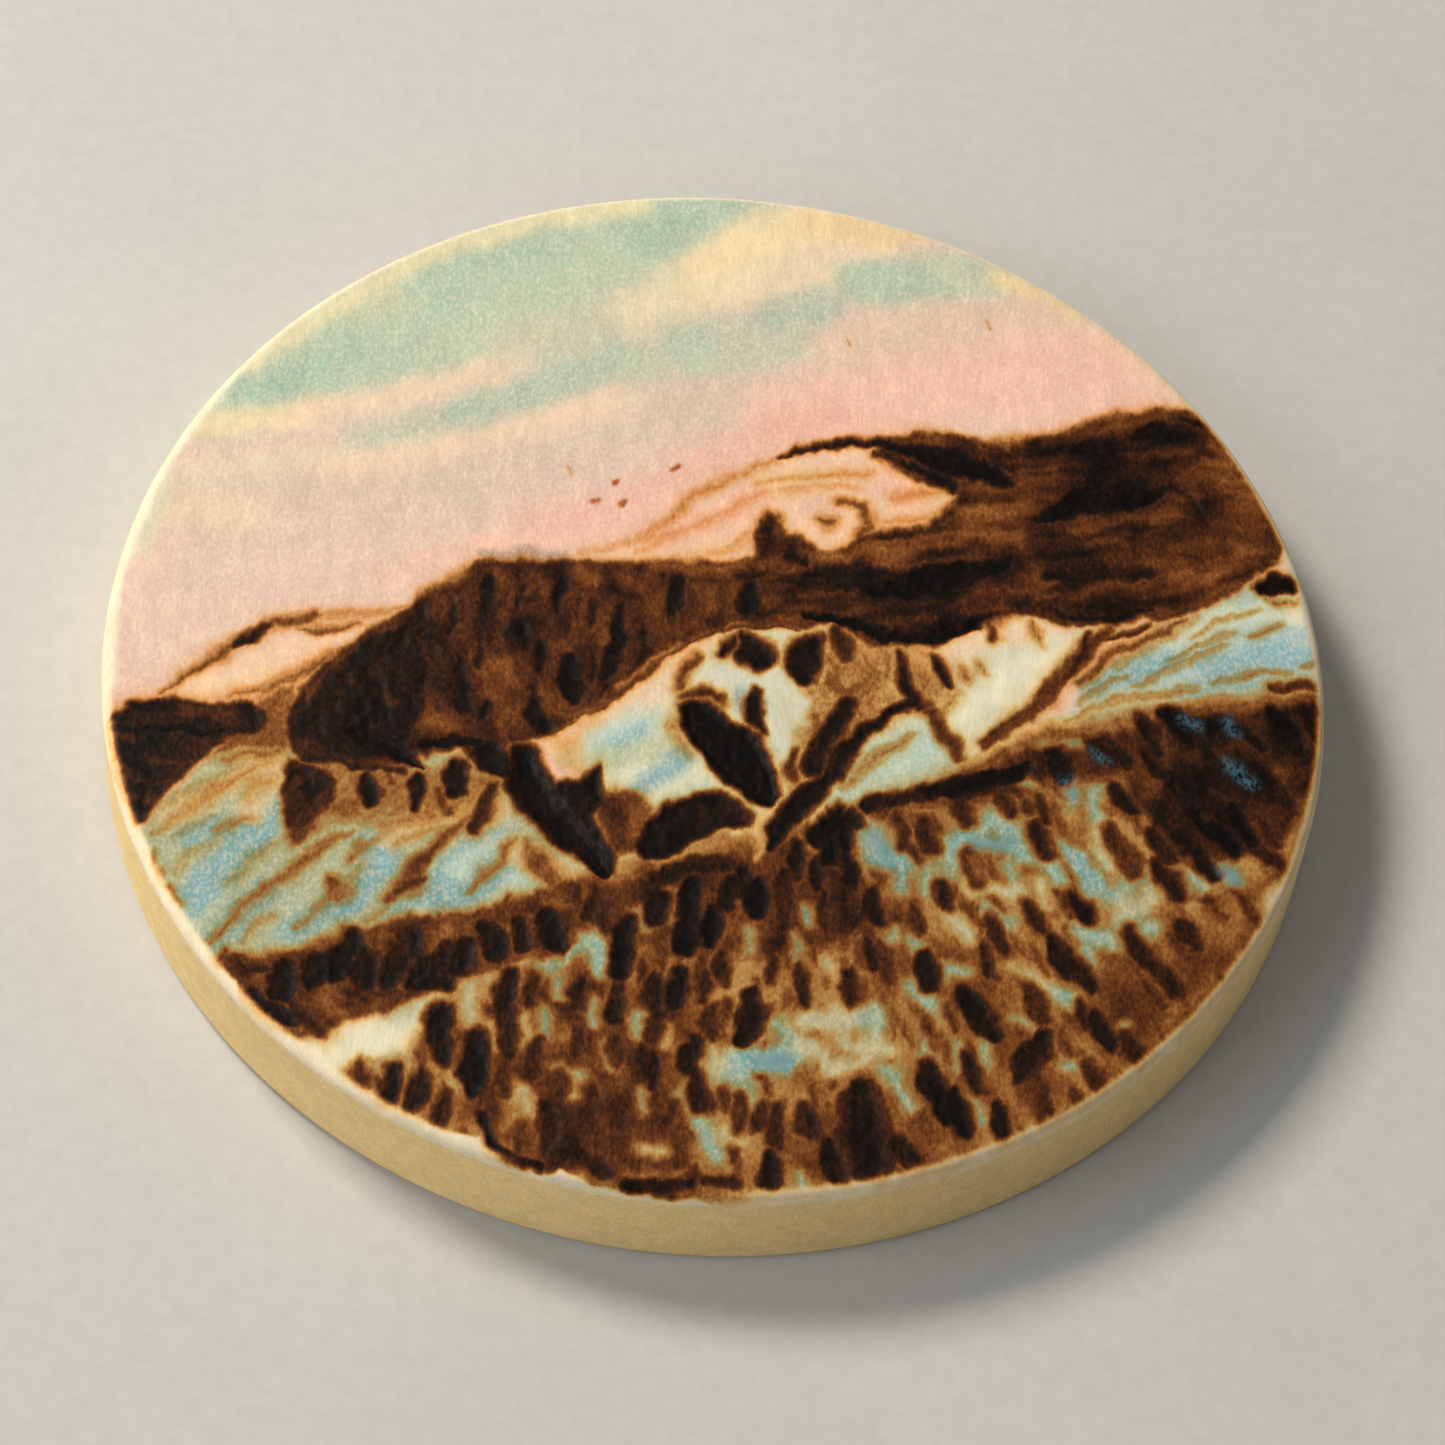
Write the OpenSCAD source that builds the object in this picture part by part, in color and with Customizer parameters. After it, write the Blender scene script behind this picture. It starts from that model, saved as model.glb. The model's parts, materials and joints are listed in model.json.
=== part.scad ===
// A round wooden disc with eased edges. One flat face carries a burned and tinted mountain
// landscape: scorched areas that sit a little below the face, and thin tinted areas flush with it.
// The underside is at z = 0, and +Y is the top of the picture.

/* [Disc] */
// Diameter of the disc
disc_d = 50; // [38:1:76]
// Thickness of the disc
disc_t = 5; // [3:0.5:8]
// Radius of the eased edge around the picture face
face_edge_r = 0.6; // [0.3:0.05:0.8]
// Radius of the eased edge around the underside
back_edge_r = 0.5; // [0.3:0.05:0.8]

/* [Picture] */
// Flat bare margin between the picture and the eased edge
bare_margin = 0.1; // [0.05:0.05:2]
// Depth of the tinted and scorched layer
layer_t = 0.6; // [0.4:0.05:1]
// How far the scorched areas sit below the face
burn_sink = 0.12; // [0.05:0.01:0.3]
// How far the deepest charred areas sit below the face
char_sink = 0.25; // [0.1:0.01:0.35]

/* [Hidden] */
$fn = 96;
disc_r = disc_d / 2;
picture_r = disc_r - face_edge_r - bare_margin;
layer_floor = disc_t - layer_t;
// The outlines below are drawn on a disc of this diameter, and scale with disc_d.
drawn_d = 50;
drawn_scale = disc_d / drawn_d;
curve_steps = 3;
// Beyond every rim, in the outlines' own units.
outside = 34;

bare_wood = [0.93, 0.84, 0.64];
scorched = [0.30, 0.16, 0.07];
charred = [0.10, 0.08, 0.07];
line_brown = [0.45, 0.27, 0.13];
sky_tint = [0.90, 0.78, 0.68];
dome_tint = [0.93, 0.76, 0.64];
slope_tint = [0.92, 0.74, 0.62];
snow_tint = [0.78, 0.82, 0.74];
cream_tint = [0.91, 0.87, 0.74];
blue_tint = [0.62, 0.76, 0.74];

// ---------------------------------------------------------------- curves

// One point of a smooth curve from b to c, with a and d as the points on either side.
function curve_point(a, b, c, d, t) =
  b + (c - a) * t / 2 + (2 * a - 5 * b + 4 * c - d) * t * t / 2
  + (3 * b - a - 3 * c + d) * t * t * t / 2;

// A smooth curve through all the points of a path, ends included.
function smooth(path) =
  let (last = len(path) - 1)
  [
    for (i = [0 : last - 1]) for (k = [0 : curve_steps - 1])
      curve_point(path[max(i - 1, 0)], path[i], path[i + 1], path[min(i + 2, last)], k / curve_steps),
    path[last]
  ];

function backwards(path) = [for (i = [len(path) - 1 : -1 : 0]) path[i]];

// Joins paths that each start where the one before ends.
function joined(paths) =
  let (last_path = paths[len(paths) - 1])
  [
    for (path = paths) for (i = [0 : len(path) - 2]) path[i],
    last_path[len(last_path) - 1]
  ];

// ---------------------------------------------------------------- meeting points of the areas

spur_at_rim = [-25.6, -4.4];
line_start = [-22.4, -2.6];
line_end_top = [-13.0, 2.2];
line_end_low = [-14.2, 1.1];
spur_meets_hill = [-16.8, -1.6];
hill_corner = [-17.1, -5.1];
hill_peak_right = [-5.6, 5.0];
ridge_start = [2.8, 10.5];
sky_at_rim = [24.0, 12.4];
dome_corner = [1.6, 5.2];
hill_low_right = [1.6, 1.85];
hill_low_left = [-7.0, -4.3];
gully_top = [-8.6, -5.8];
gully_low_right = [-3.4, -9.4];
gully_low_left = [-4.6, -10.4];
spine_top_left = [4.2, 1.8];
spine_top_right = [7.2, 0.75];
spine_low = [2.1, -8.9];
notch_left = [3.4, -7.9];
notch_right = [10.0, -4.7];
streak_top_left = [15.2, 2.1];
streak_top_right = [17.8, 2.5];
streak_low = [12.8, -3.7];
dab_left = [22.3, 4.4];
dab_at_rim = [25.6, 5.2];
snowfield_at_rim = [25.6, -0.3];
valley_at_rim = [-24.4, -10.4];
row_at_rim = [-21.6, -15.4];
row_low_at_rim = [-16.8, -19.8];
row_corner = [-10.2, -15.9];
front_at_rim = [-15.8, -20.4];

// ---------------------------------------------------------------- boundaries between the areas

sky_spur = smooth([spur_at_rim, [-24.2, -3.6], [-23.3, -2.9], line_start]);
sky_line = smooth([
  line_start, [-21.3, -1.3], [-19.9, -0.2], [-19.1, 0.9], [-17.6, 1.3], [-15.6, 1.6], line_end_top
]);
line_slope = smooth([
  line_start, [-20.9, -1.3], [-19.3, -0.4], [-18.6, 0.5], [-17.0, 0.4], [-15.6, 0.6], line_end_low
]);
line_hill = [line_end_top, line_end_low];
sky_hill = smooth([
  line_end_top, [-12.2, 2.8], [-11.2, 3.7], [-9.9, 4.5], [-8.4, 5.0], [-6.8, 4.9], hill_peak_right
]);
sky_slope_line = smooth([
  hill_peak_right, [-4.4, 5.7], [-2.6, 6.8], [-1.0, 8.5], [1.0, 9.7], ridge_start
]);
slope_line_dome = smooth([
  hill_peak_right, [-3.6, 5.5], [-1.8, 6.6], [-0.5, 8.0], [1.4, 9.2], ridge_start
]);
sky_ridge = smooth([
  ridge_start, [4.0, 11.4], [6.5, 11.8], [8.8, 12.3], [10.4, 11.9], [11.8, 11.35], [13.4, 12.1],
  [16.4, 13.1], [18.7, 13.9], [20.8, 13.5], sky_at_rim
]);
slope_hill = smooth([line_end_low, [-15.3, -0.2], spur_meets_hill]);
slope_spur = smooth([line_start, [-21.2, -2.5], [-18.8, -2.5], spur_meets_hill]);
spur_hill = smooth([spur_meets_hill, [-17.5, -3.3], hill_corner]);
spur_valley = smooth([
  valley_at_rim, [-23.0, -8.8], [-21.4, -6.8], [-19.6, -5.1], [-18.2, -4.9], hill_corner
]);
hill_dome = smooth([hill_peak_right, [-3.2, 5.0], [-0.8, 5.2], dome_corner]);
hill_ridge = smooth([dome_corner, [0.8, 4.2], [0.6, 2.9], hill_low_right]);
hill_snow = smooth([
  hill_low_left, [-5.4, -3.1], [-3.9, -1.9], [-2.4, 0.0], [-0.9, 1.3], hill_low_right
]);
hill_foot = smooth([
  hill_corner, [-15.6, -5.7], [-13.8, -5.5], [-12.2, -5.6], [-11.2, -4.9], [-10.2, -4.8],
  [-9.6, -5.8], gully_top
]);
hill_gully = smooth([gully_top, [-8.3, -4.8], hill_low_left]);
foot_valley = smooth([
  hill_corner, [-17.3, -7.6], [-16.8, -9.7], [-15.4, -8.5], [-13.6, -7.9], [-12.0, -8.0],
  [-10.8, -6.8], [-9.7, -7.1], gully_top
]);
gully_valley = smooth([gully_top, [-8.7, -7.0], [-7.4, -8.9], [-6.0, -10.0], gully_low_left]);
gully_snow = smooth([
  hill_low_left, [-6.7, -5.9], [-5.1, -5.7], [-4.8, -6.8], [-4.3, -8.1], gully_low_right
]);
gully_front = [gully_low_left, gully_low_right];
dome_ridge = smooth([
  dome_corner, [1.7, 6.9], [2.6, 7.4], [3.4, 6.3], [4.8, 5.7], [6.4, 6.7], [8.6, 7.1], [9.9, 8.1],
  [8.9, 9.4], [7.4, 10.2], [5.8, 11.0], [4.2, 10.8], ridge_start
]);
ridge_snow = smooth([hill_low_right, [2.9, 1.85], spine_top_left]);
ridge_spine = smooth([spine_top_left, [5.4, 1.5], spine_top_right]);
ridge_shoulder = smooth([
  spine_top_right, [9.4, 1.2], [11.4, 2.4], [13.4, 2.6], streak_top_left
]);
ridge_streak = [streak_top_left, streak_top_right];
ridge_snowfield = smooth([streak_top_right, [19.4, 3.0], [21.0, 3.8], dab_left]);
ridge_dab = smooth([dab_left, [22.9, 5.2], [24.0, 5.4], dab_at_rim]);
dab_snowfield = smooth([dab_left, [23.2, 3.9], [24.3, 4.3], dab_at_rim]);
snow_spine = smooth([
  spine_top_left, [4.0, 0.4], [4.1, -1.8], [3.8, -3.6], [3.0, -4.9], [2.7, -7.0], spine_low
]);
spine_notch = smooth([
  notch_left, [5.0, -5.6], [6.3, -3.7], [7.9, -2.8], [9.1, -3.7], notch_right
]);
spine_shoulder = smooth([spine_top_right, [8.8, 0.2], [9.0, -1.4], [9.6, -3.2], notch_right]);
shoulder_streak = smooth([
  streak_top_left, [14.3, 0.2], [13.1, -1.1], [11.6, -2.7], notch_right
]);
streak_snowfield = smooth([
  streak_top_right, [16.3, 0.9], [15.2, -0.6], [14.0, -2.2], streak_low
]);
front_snow_centre = smooth([
  gully_low_right, [-2.4, -8.2], [-0.8, -7.0], [0.9, -6.7], [1.9, -7.5], spine_low
]);
front_spine = [spine_low, notch_left];
front_notch = smooth([notch_left, [5.6, -6.7], [7.8, -5.9], notch_right]);
front_streak = [notch_right, streak_low];
front_snowfield = smooth([
  streak_low, [15.2, -2.4], [17.4, -1.9], [19.6, -1.1], [22.4, -0.9], snowfield_at_rim
]);
valley_row = smooth([
  row_at_rim, [-20.0, -14.6], [-18.4, -14.8], [-15.4, -13.9], [-12.5, -12.9], [-10.0, -12.6],
  [-7.4, -11.8], [-5.6, -11.0], gully_low_left
]);
row_front_snow = smooth([row_low_at_rim, [-15.2, -18.6], [-13.1, -17.3], [-11.4, -16.4], row_corner]);
row_front = smooth([
  row_corner, [-8.6, -15.1], [-6.4, -14.4], [-5.4, -12.9], [-5.0, -11.4], gully_low_left
]);
front_snow_front = smooth([
  row_corner, [-11.0, -17.4], [-11.7, -18.9], [-13.2, -19.2], front_at_rim
]);
boulder = smooth([
  [-1.8, -2.3], [-0.4, -2.0], [1.2, -3.6], [2.4, -5.6], [2.2, -7.1], [0.6, -6.2], [-1.0, -4.7],
  [-1.8, -2.3]
]);

// ---------------------------------------------------------------- shared shapes

// The part of the picture inside a closed run of boundaries.
module area(paths) {
  intersection() {
    circle(r = picture_r);
    polygon(joined(paths) * drawn_scale);
  }
}

// A layer set into the face, with its top the given depth below it.
module layer(sink) {
  translate([0, 0, layer_floor])
    linear_extrude(layer_t - sink)
      children();
}

// Half of the disc's section: a rectangle with a quarter round at each outer corner.
module disc_section() {
  inner_r = disc_r - max(face_edge_r, back_edge_r);
  square([inner_r, disc_t]);
  translate([0, back_edge_r])
    square([disc_r, disc_t - back_edge_r - face_edge_r]);
  square([disc_r - back_edge_r, back_edge_r + 0.1]);
  translate([0, disc_t - face_edge_r - 0.1])
    square([disc_r - face_edge_r, face_edge_r + 0.1]);
  translate([disc_r - back_edge_r, back_edge_r])
    circle(r = back_edge_r);
  translate([disc_r - face_edge_r, disc_t - face_edge_r])
    circle(r = face_edge_r);
}

// ---------------------------------------------------------------- the wood

module wood_disc() {
  pocket_cut = 1;
  color(bare_wood)
    difference() {
      rotate_extrude()
        disc_section();
      translate([0, 0, layer_floor])
        cylinder(r = picture_r, h = layer_t + pocket_cut);
    }
}

// ---------------------------------------------------------------- tinted areas

module sky_wash() {
  over_the_top = [sky_at_rim, [outside, outside], [-outside, outside], [-outside, -5], spur_at_rim];
  color(sky_tint)
    layer(0)
      area([sky_spur, sky_line, sky_hill, sky_slope_line, sky_ridge, over_the_top]);
}

module left_slope_wash() {
  color(slope_tint)
    layer(0)
      area([line_slope, slope_hill, backwards(slope_spur)]);
}

module snow_dome_wash() {
  color(dome_tint)
    layer(0)
      area([hill_dome, dome_ridge, backwards(slope_line_dome)]);
}

module centre_snow_wash() {
  color(snow_tint)
    layer(0)
      difference() {
        area([
          hill_snow, ridge_snow, snow_spine, backwards(front_snow_centre), backwards(gully_snow)
        ]);
        area([boulder]);
      }
}

module notch_snow_wash() {
  color(snow_tint)
    layer(0)
      area([spine_notch, backwards(front_notch)]);
}

module shoulder_snow_wash() {
  color(cream_tint)
    layer(0)
      area([ridge_shoulder, shoulder_streak, backwards(spine_shoulder)]);
}

module snowfield_wash() {
  past_the_rim = [dab_at_rim, [outside, 5], [outside, -1], snowfield_at_rim];
  color(blue_tint)
    layer(0)
      area([
        ridge_snowfield, dab_snowfield, past_the_rim, backwards(front_snowfield),
        backwards(streak_snowfield)
      ]);
}

module valley_wash() {
  past_the_rim = [row_at_rim, [-outside, -15], [-outside, -10], valley_at_rim];
  color(blue_tint)
    layer(0)
      area([
        spur_valley, foot_valley, gully_valley, backwards(valley_row), past_the_rim
      ]);
}

module front_snow_wash() {
  past_the_rim = [front_at_rim, [-18, -24], row_low_at_rim];
  color(cream_tint)
    layer(0)
      area([row_front_snow, front_snow_front, past_the_rim]);
}

// ---------------------------------------------------------------- scorched areas

module left_ridge_line() {
  color(line_brown)
    layer(burn_sink)
      area([sky_line, line_hill, backwards(line_slope)]);
}

module left_spur_burn() {
  past_the_rim = [valley_at_rim, [-outside, -10], [-outside, -5], spur_at_rim];
  color(scorched)
    layer(burn_sink)
      area([sky_spur, slope_spur, spur_hill, backwards(spur_valley), past_the_rim]);
}

module near_hill_burn() {
  color(scorched)
    layer(burn_sink)
      area([
        backwards(slope_hill), backwards(line_hill), sky_hill, hill_dome, hill_ridge,
        backwards(hill_snow), backwards(hill_gully), backwards(hill_foot), backwards(spur_hill)
      ]);
}

module hill_foot_burn() {
  color(scorched)
    layer(burn_sink)
      area([hill_foot, backwards(foot_valley)]);
}

module gully_char() {
  color(charred)
    layer(char_sink)
      area([hill_gully, gully_snow, backwards(gully_front), backwards(gully_valley)]);
}

module far_slope_line() {
  color(line_brown)
    layer(burn_sink)
      area([sky_slope_line, backwards(slope_line_dome)]);
}

module far_ridge_burn() {
  past_the_rim = [dab_at_rim, [outside, 5], [outside, 12], sky_at_rim];
  color(scorched)
    layer(burn_sink)
      area([
        hill_ridge, ridge_snow, ridge_spine, ridge_shoulder, ridge_streak, ridge_snowfield,
        ridge_dab, past_the_rim, backwards(sky_ridge), backwards(dome_ridge)
      ]);
}

module boulder_char() {
  color(charred)
    layer(char_sink)
      area([boulder]);
}

module spine_burn() {
  color(scorched)
    layer(burn_sink)
      area([
        ridge_spine, spine_shoulder, backwards(spine_notch), backwards(front_spine),
        backwards(snow_spine)
      ]);
}

module slope_streak_burn() {
  color(scorched)
    layer(burn_sink)
      area([ridge_streak, streak_snowfield, backwards(front_streak), backwards(shoulder_streak)]);
}

module edge_dab_char() {
  color(charred)
    layer(char_sink)
      area([ridge_dab, backwards(dab_snowfield)]);
}

module front_row_char() {
  past_the_rim = [row_low_at_rim, [-24, -22], row_at_rim];
  color(charred)
    layer(char_sink)
      area([valley_row, backwards(row_front), backwards(row_front_snow), past_the_rim]);
}

module foreground_burn() {
  around_the_front = [
    snowfield_at_rim, [outside, -1], [outside, -outside], [-18, -outside], front_at_rim
  ];
  color(scorched)
    layer(burn_sink)
      area([
        row_front, gully_front, front_snow_centre, front_spine, front_notch, front_streak,
        front_snowfield, around_the_front, backwards(front_snow_front)
      ]);
}

// ---------------------------------------------------------------- drawing

wood_disc();
sky_wash();
left_ridge_line();
left_slope_wash();
left_spur_burn();
near_hill_burn();
hill_foot_burn();
gully_char();
far_slope_line();
snow_dome_wash();
far_ridge_burn();
centre_snow_wash();
boulder_char();
spine_burn();
notch_snow_wash();
shoulder_snow_wash();
slope_streak_burn();
snowfield_wash();
edge_dab_char();
valley_wash();
front_row_char();
front_snow_wash();
foreground_burn();
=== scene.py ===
"""Looks of the wood-burned landscape disc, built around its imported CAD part.

The picture is kept as fields over the face: a tint, how burned the wood is, how far the burner
pressed in, and where a blue pencil went over it. Washes and strokes change these fields, in the
order in which the real one was made. The fields then give every piece its relief and its colours.
All places in the picture are in millimetres, with +Y towards its top.
"""

import json
import math

import bpy
import numpy as np
from mathutils import Matrix, Vector
from mathutils.bvhtree import BVHTree
from mathutils.geometry import tessellate_polygon


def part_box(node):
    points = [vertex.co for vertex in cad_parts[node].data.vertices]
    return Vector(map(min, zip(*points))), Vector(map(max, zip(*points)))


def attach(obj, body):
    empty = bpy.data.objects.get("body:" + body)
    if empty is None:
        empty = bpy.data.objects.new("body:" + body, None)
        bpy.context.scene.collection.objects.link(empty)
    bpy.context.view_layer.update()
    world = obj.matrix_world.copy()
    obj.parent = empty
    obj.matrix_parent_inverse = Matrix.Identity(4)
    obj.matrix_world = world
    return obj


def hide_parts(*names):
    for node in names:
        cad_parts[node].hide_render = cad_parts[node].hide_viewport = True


MM = 0.001

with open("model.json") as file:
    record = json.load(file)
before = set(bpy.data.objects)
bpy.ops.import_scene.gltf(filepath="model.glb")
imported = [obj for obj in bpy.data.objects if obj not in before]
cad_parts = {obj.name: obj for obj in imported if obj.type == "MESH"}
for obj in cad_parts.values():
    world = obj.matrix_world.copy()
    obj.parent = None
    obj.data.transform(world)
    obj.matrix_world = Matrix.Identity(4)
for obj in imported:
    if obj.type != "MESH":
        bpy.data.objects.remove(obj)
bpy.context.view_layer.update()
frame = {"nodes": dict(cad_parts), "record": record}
disc_low, disc_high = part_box("wood_disc")
layer_low, layer_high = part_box("sky_wash")

# Millimetres: the disc's radius and thickness, and the picture's radius and the pocket's floor.
disc_r = (disc_high.x - disc_low.x) / 2 / MM
disc_t = disc_high.z / MM
picture_r = layer_high.y / MM
pocket_z = layer_low.z / MM


# ---------------------------------------------------------------- colours (sRGB, 0 to 255)

WOOD = (250, 232, 196)
SIDE_WOOD = (248, 212, 142)
COLOURS = {
    "TEAL": (166, 196, 172),
    "PALE_TEAL": (192, 207, 180),
    "PEACH": (252, 226, 176),
    "CREAM": (244, 222, 182),
    "APRICOT": (249, 212, 158),
    "GREY_PINK": (212, 194, 174),
    "DUSK": (243, 204, 185),
    "PINK": (247, 180, 160),
    "SALMON": (255, 199, 178),
    "AQUA": (190, 214, 200),
    "WATER": (146, 188, 188),
    "MIST": (196, 196, 166),
    "BLUE": (124, 176, 188),
    "SNOW": (228, 226, 196),
}


# ---------------------------------------------------------------- reading the lists of marks

def path(text):
    """Points from text such as "12,-5 20,0", which is in tenths of a millimetre."""
    return np.array([point.split(",") for point in text.split()], float) / 10


def value(field):
    """A named colour, or one number, or a list of numbers."""
    if field in COLOURS:
        return COLOURS[field]
    numbers = [float(number) for number in field.split(",")]
    return numbers if len(numbers) > 1 else numbers[0]


def marks(text, count):
    """Reads one mark from each line: count values and then its path. Lines with # are comments."""
    for line in text.strip().splitlines():
        if not line.strip().startswith("#"):
            *values, points = line.split(None, count)
            yield *map(value, values), path(points)


# ---------------------------------------------------------------- fields over the face

def smooth_noise(x, y, size_x, size_y, seed):
    """Noise from -1 to 1 with patches of a size, the same each time for one seed."""
    table = np.random.RandomState(seed).rand(128, 128) * 2 - 1
    u, v = x / size_x + 1000.0, y / size_y + 1000.0
    iu, iv = np.floor(u).astype(int), np.floor(v).astype(int)
    fu, fv = u - iu, v - iv
    fu, fv = fu * fu * (3 - 2 * fu), fv * fv * (3 - 2 * fv)
    a, b = table[iu % 128, iv % 128], table[(iu + 1) % 128, iv % 128]
    c, d = table[iu % 128, (iv + 1) % 128], table[(iu + 1) % 128, (iv + 1) % 128]
    return (a * (1 - fu) + b * fu) * (1 - fv) + (c * (1 - fu) + d * fu) * fv


def step(low, high, v):
    """Rises smoothly from 0 at low to 1 at high."""
    t = np.clip((v - low) / (high - low), 0, 1)
    return t * t * (3 - 2 * t)


class Face:
    """Everything that is known at each point of the face, in millimetres."""

    def __init__(self, x, y):
        self.x0, self.y0 = x, y
        self.x = x + 0.14 * smooth_noise(x, y, 0.9, 0.9, 1) + 0.1 * smooth_noise(x, y, 0.34, 0.5, 2)
        self.y = y + 0.16 * smooth_noise(x, y, 0.9, 0.9, 3) + 0.11 * smooth_noise(x, y, 0.3, 0.6, 4)
        self.tint = np.tile(np.array(WOOD, float), (len(x), 1))
        self.burn = np.zeros(len(x))
        self.depth = np.zeros(len(x))
        self.blue = np.zeros(len(x))
        self.random = np.random.RandomState(7)

    def part(self, at):
        """The same fields at some of the points."""
        chosen = Face.__new__(Face)
        for name in ("tint", "burn", "depth", "blue"):
            setattr(chosen, name, getattr(self, name)[at])
        return chosen

    def joined(self, other):
        """These fields followed by another's."""
        both = Face.__new__(Face)
        for name in ("tint", "burn", "depth", "blue"):
            setattr(both, name, np.concatenate([getattr(self, name), getattr(other, name)]))
        return both

    def near(self, points, pad):
        """Which points of the face are within pad of the box around a path."""
        p = np.asarray(points, float)
        lo, hi = p.min(0) - pad, p.max(0) + pad
        return np.nonzero(
            (self.x0 > lo[0]) & (self.x0 < hi[0]) & (self.y0 > lo[1]) & (self.y0 < hi[1])
        )[0]

    def reach(self, at, points, radii):
        """Distance beyond the stroke's edge, and the share of the way out from its middle."""
        x, y = self.x[at], self.y[at]
        beyond = np.full(len(at), 1e9)
        share = np.full(len(at), 1e9)
        p = np.asarray(points, float)
        radii = np.broadcast_to(np.asarray(radii, float), (len(p),))
        if len(p) == 1:
            p = np.vstack([p, p])
            radii = np.repeat(radii, 2)
        for a, b, ra, rb in zip(p[:-1], p[1:], radii[:-1], radii[1:]):
            d = b - a
            n = max(d @ d, 1e-9)
            t = np.clip(((x - a[0]) * d[0] + (y - a[1]) * d[1]) / n, 0, 1)
            dist = np.hypot(x - a[0] - t * d[0], y - a[1] - t * d[1])
            r = ra + (rb - ra) * t
            closer = dist - r < beyond
            beyond = np.where(closer, dist - r, beyond)
            share = np.where(closer, dist / r, share)
        return beyond, share

    # ---- colour
    def wash(self, colour, strength, points, width, soft=None):
        """Tints along a path: full strength within width, fading over soft."""
        soft = width if soft is None else soft
        at = self.near(points, width + soft + 0.5)
        beyond, _ = self.reach(at, points, width)
        f = strength * (1 - step(-soft * 0.5, soft, beyond))
        self.tint[at] += f[:, None] * (np.array(colour, float) - self.tint[at])

    def fill(self, colour, strength, outline, soft=0.3):
        """Tints inside a closed outline."""
        at, d = self.inside(outline, soft)
        f = strength * step(-soft, soft, d)
        self.tint[at] += f[:, None] * (np.array(colour, float) - self.tint[at])

    def inside(self, outline, pad):
        """Signed distance to a closed outline, positive inside."""
        at = self.near(outline, pad + 0.6)
        x, y = self.x[at], self.y[at]
        dist = np.full(len(at), 1e9)
        inside = np.zeros(len(at), bool)
        p = np.asarray(outline, float)
        for a, b in zip(p, np.roll(p, -1, 0)):
            d = b - a
            n = max(d @ d, 1e-9)
            t = np.clip(((x - a[0]) * d[0] + (y - a[1]) * d[1]) / n, 0, 1)
            dist = np.minimum(dist, np.hypot(x - a[0] - t * d[0], y - a[1] - t * d[1]))
            cross = (a[1] > y) != (b[1] > y)
            with np.errstate(divide="ignore", invalid="ignore"):
                hit = x < (b[0] - a[0]) * (y - a[1]) / (b[1] - a[1]) + a[0]
            inside ^= cross & hit
        return at, np.where(inside, dist, -dist)

    # ---- heat
    def stroke(self, level, radii, points, soft=0.28, halo=0.2, depth=None, glow=0.28, core=0.3):
        """A burned stroke: darkest along its middle, with an amber halo, and pressed in."""
        r = float(np.max(radii))
        at = self.near(points, r + 3 * halo + soft)
        beyond, share = self.reach(at, points, radii)
        mask = 1 - step(-soft, soft, beyond)
        heat = level * (1 - core * np.clip(share, 0, 1) ** 2) * mask
        halo_heat = min(level, glow) * np.exp(-np.clip(beyond, 0, None) / max(halo, 0.01))
        self.burn[at] = np.maximum(np.maximum(self.burn[at], heat), halo_heat)
        if depth is None:
            depth = 0.12 * level ** 2
        press = depth * (1 - step(0.2, 1.25, share))
        self.depth[at] = np.maximum(self.depth[at], press)

    def area(self, level, outline, soft=0.26, halo=0.25, depth=0.04, glow=0.3):
        """A burned patch with an edge like a stroke's."""
        at, d = self.inside(outline, 3 * halo + soft)
        heat = level * step(-soft, soft, d)
        halo_heat = min(level, glow) * np.exp(np.clip(d, None, 0) / max(halo, 0.01))
        self.burn[at] = np.maximum(np.maximum(self.burn[at], heat), halo_heat)
        self.depth[at] = np.maximum(self.depth[at], depth * step(-0.2, 0.4, d))

    def mottle(self, outline, amount, size_x, size_y, angle, seed, least=0.3):
        """Makes the heat inside an outline uneven, in patches turned by an angle in degrees."""
        at, d = self.inside(outline, 0)
        a = np.radians(angle)
        along = self.x[at] * np.cos(a) + self.y[at] * np.sin(a)
        across = self.y[at] * np.cos(a) - self.x[at] * np.sin(a)
        coarse = smooth_noise(along, across, size_x, size_y, seed)
        fine = smooth_noise(along, across, size_x / 2, size_y / 2, seed + 100)
        share = step(0, 0.5, d) * step(least - 0.2, least + 0.1, self.burn[at])
        self.burn[at] = np.clip(self.burn[at] + amount * (coarse + 0.5 * fine) * share, 0, 1)

    def strip_off(self, outline):
        """Bare wood inside an outline."""
        at, d = self.inside(outline, 0.2)
        share = step(-0.12, 0.12, d)
        self.tint[at] += share[:, None] * (np.array(WOOD, float) - self.tint[at])
        for field in (self.burn, self.depth, self.blue):
            field[at] *= 1 - share

    def ease(self, level, strength, radii, points, soft=0.3):
        """Brings the heat towards a level, up or down, inside a darker area."""
        r = float(np.max(radii))
        at = self.near(points, r + soft * 2)
        beyond, _ = self.reach(at, points, radii)
        f = strength * (1 - step(-soft, soft, beyond))
        self.burn[at] += f * (level - self.burn[at])

    def dabs(self, level, radius, length, angle, places, jitter=0.12, **looks):
        """Short strokes of one kind at several places."""
        for px, py in places:
            r = radius * (1 + jitter * self.random.uniform(-1, 1))
            long = length * (1 + 1.5 * jitter * self.random.uniform(-1, 1))
            a = np.radians(angle + 60 * jitter * self.random.uniform(-1, 1))
            heat = np.clip(level * (1 + 0.6 * jitter * self.random.uniform(-1, 1)), 0, 1)
            dx, dy = np.cos(a) * long / 2, np.sin(a) * long / 2
            points = [(px - dx, py - dy), (px, py), (px + dx, py + dy)]
            self.stroke(heat, [r * 0.8, r, r * 0.75], points, **looks)

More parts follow.
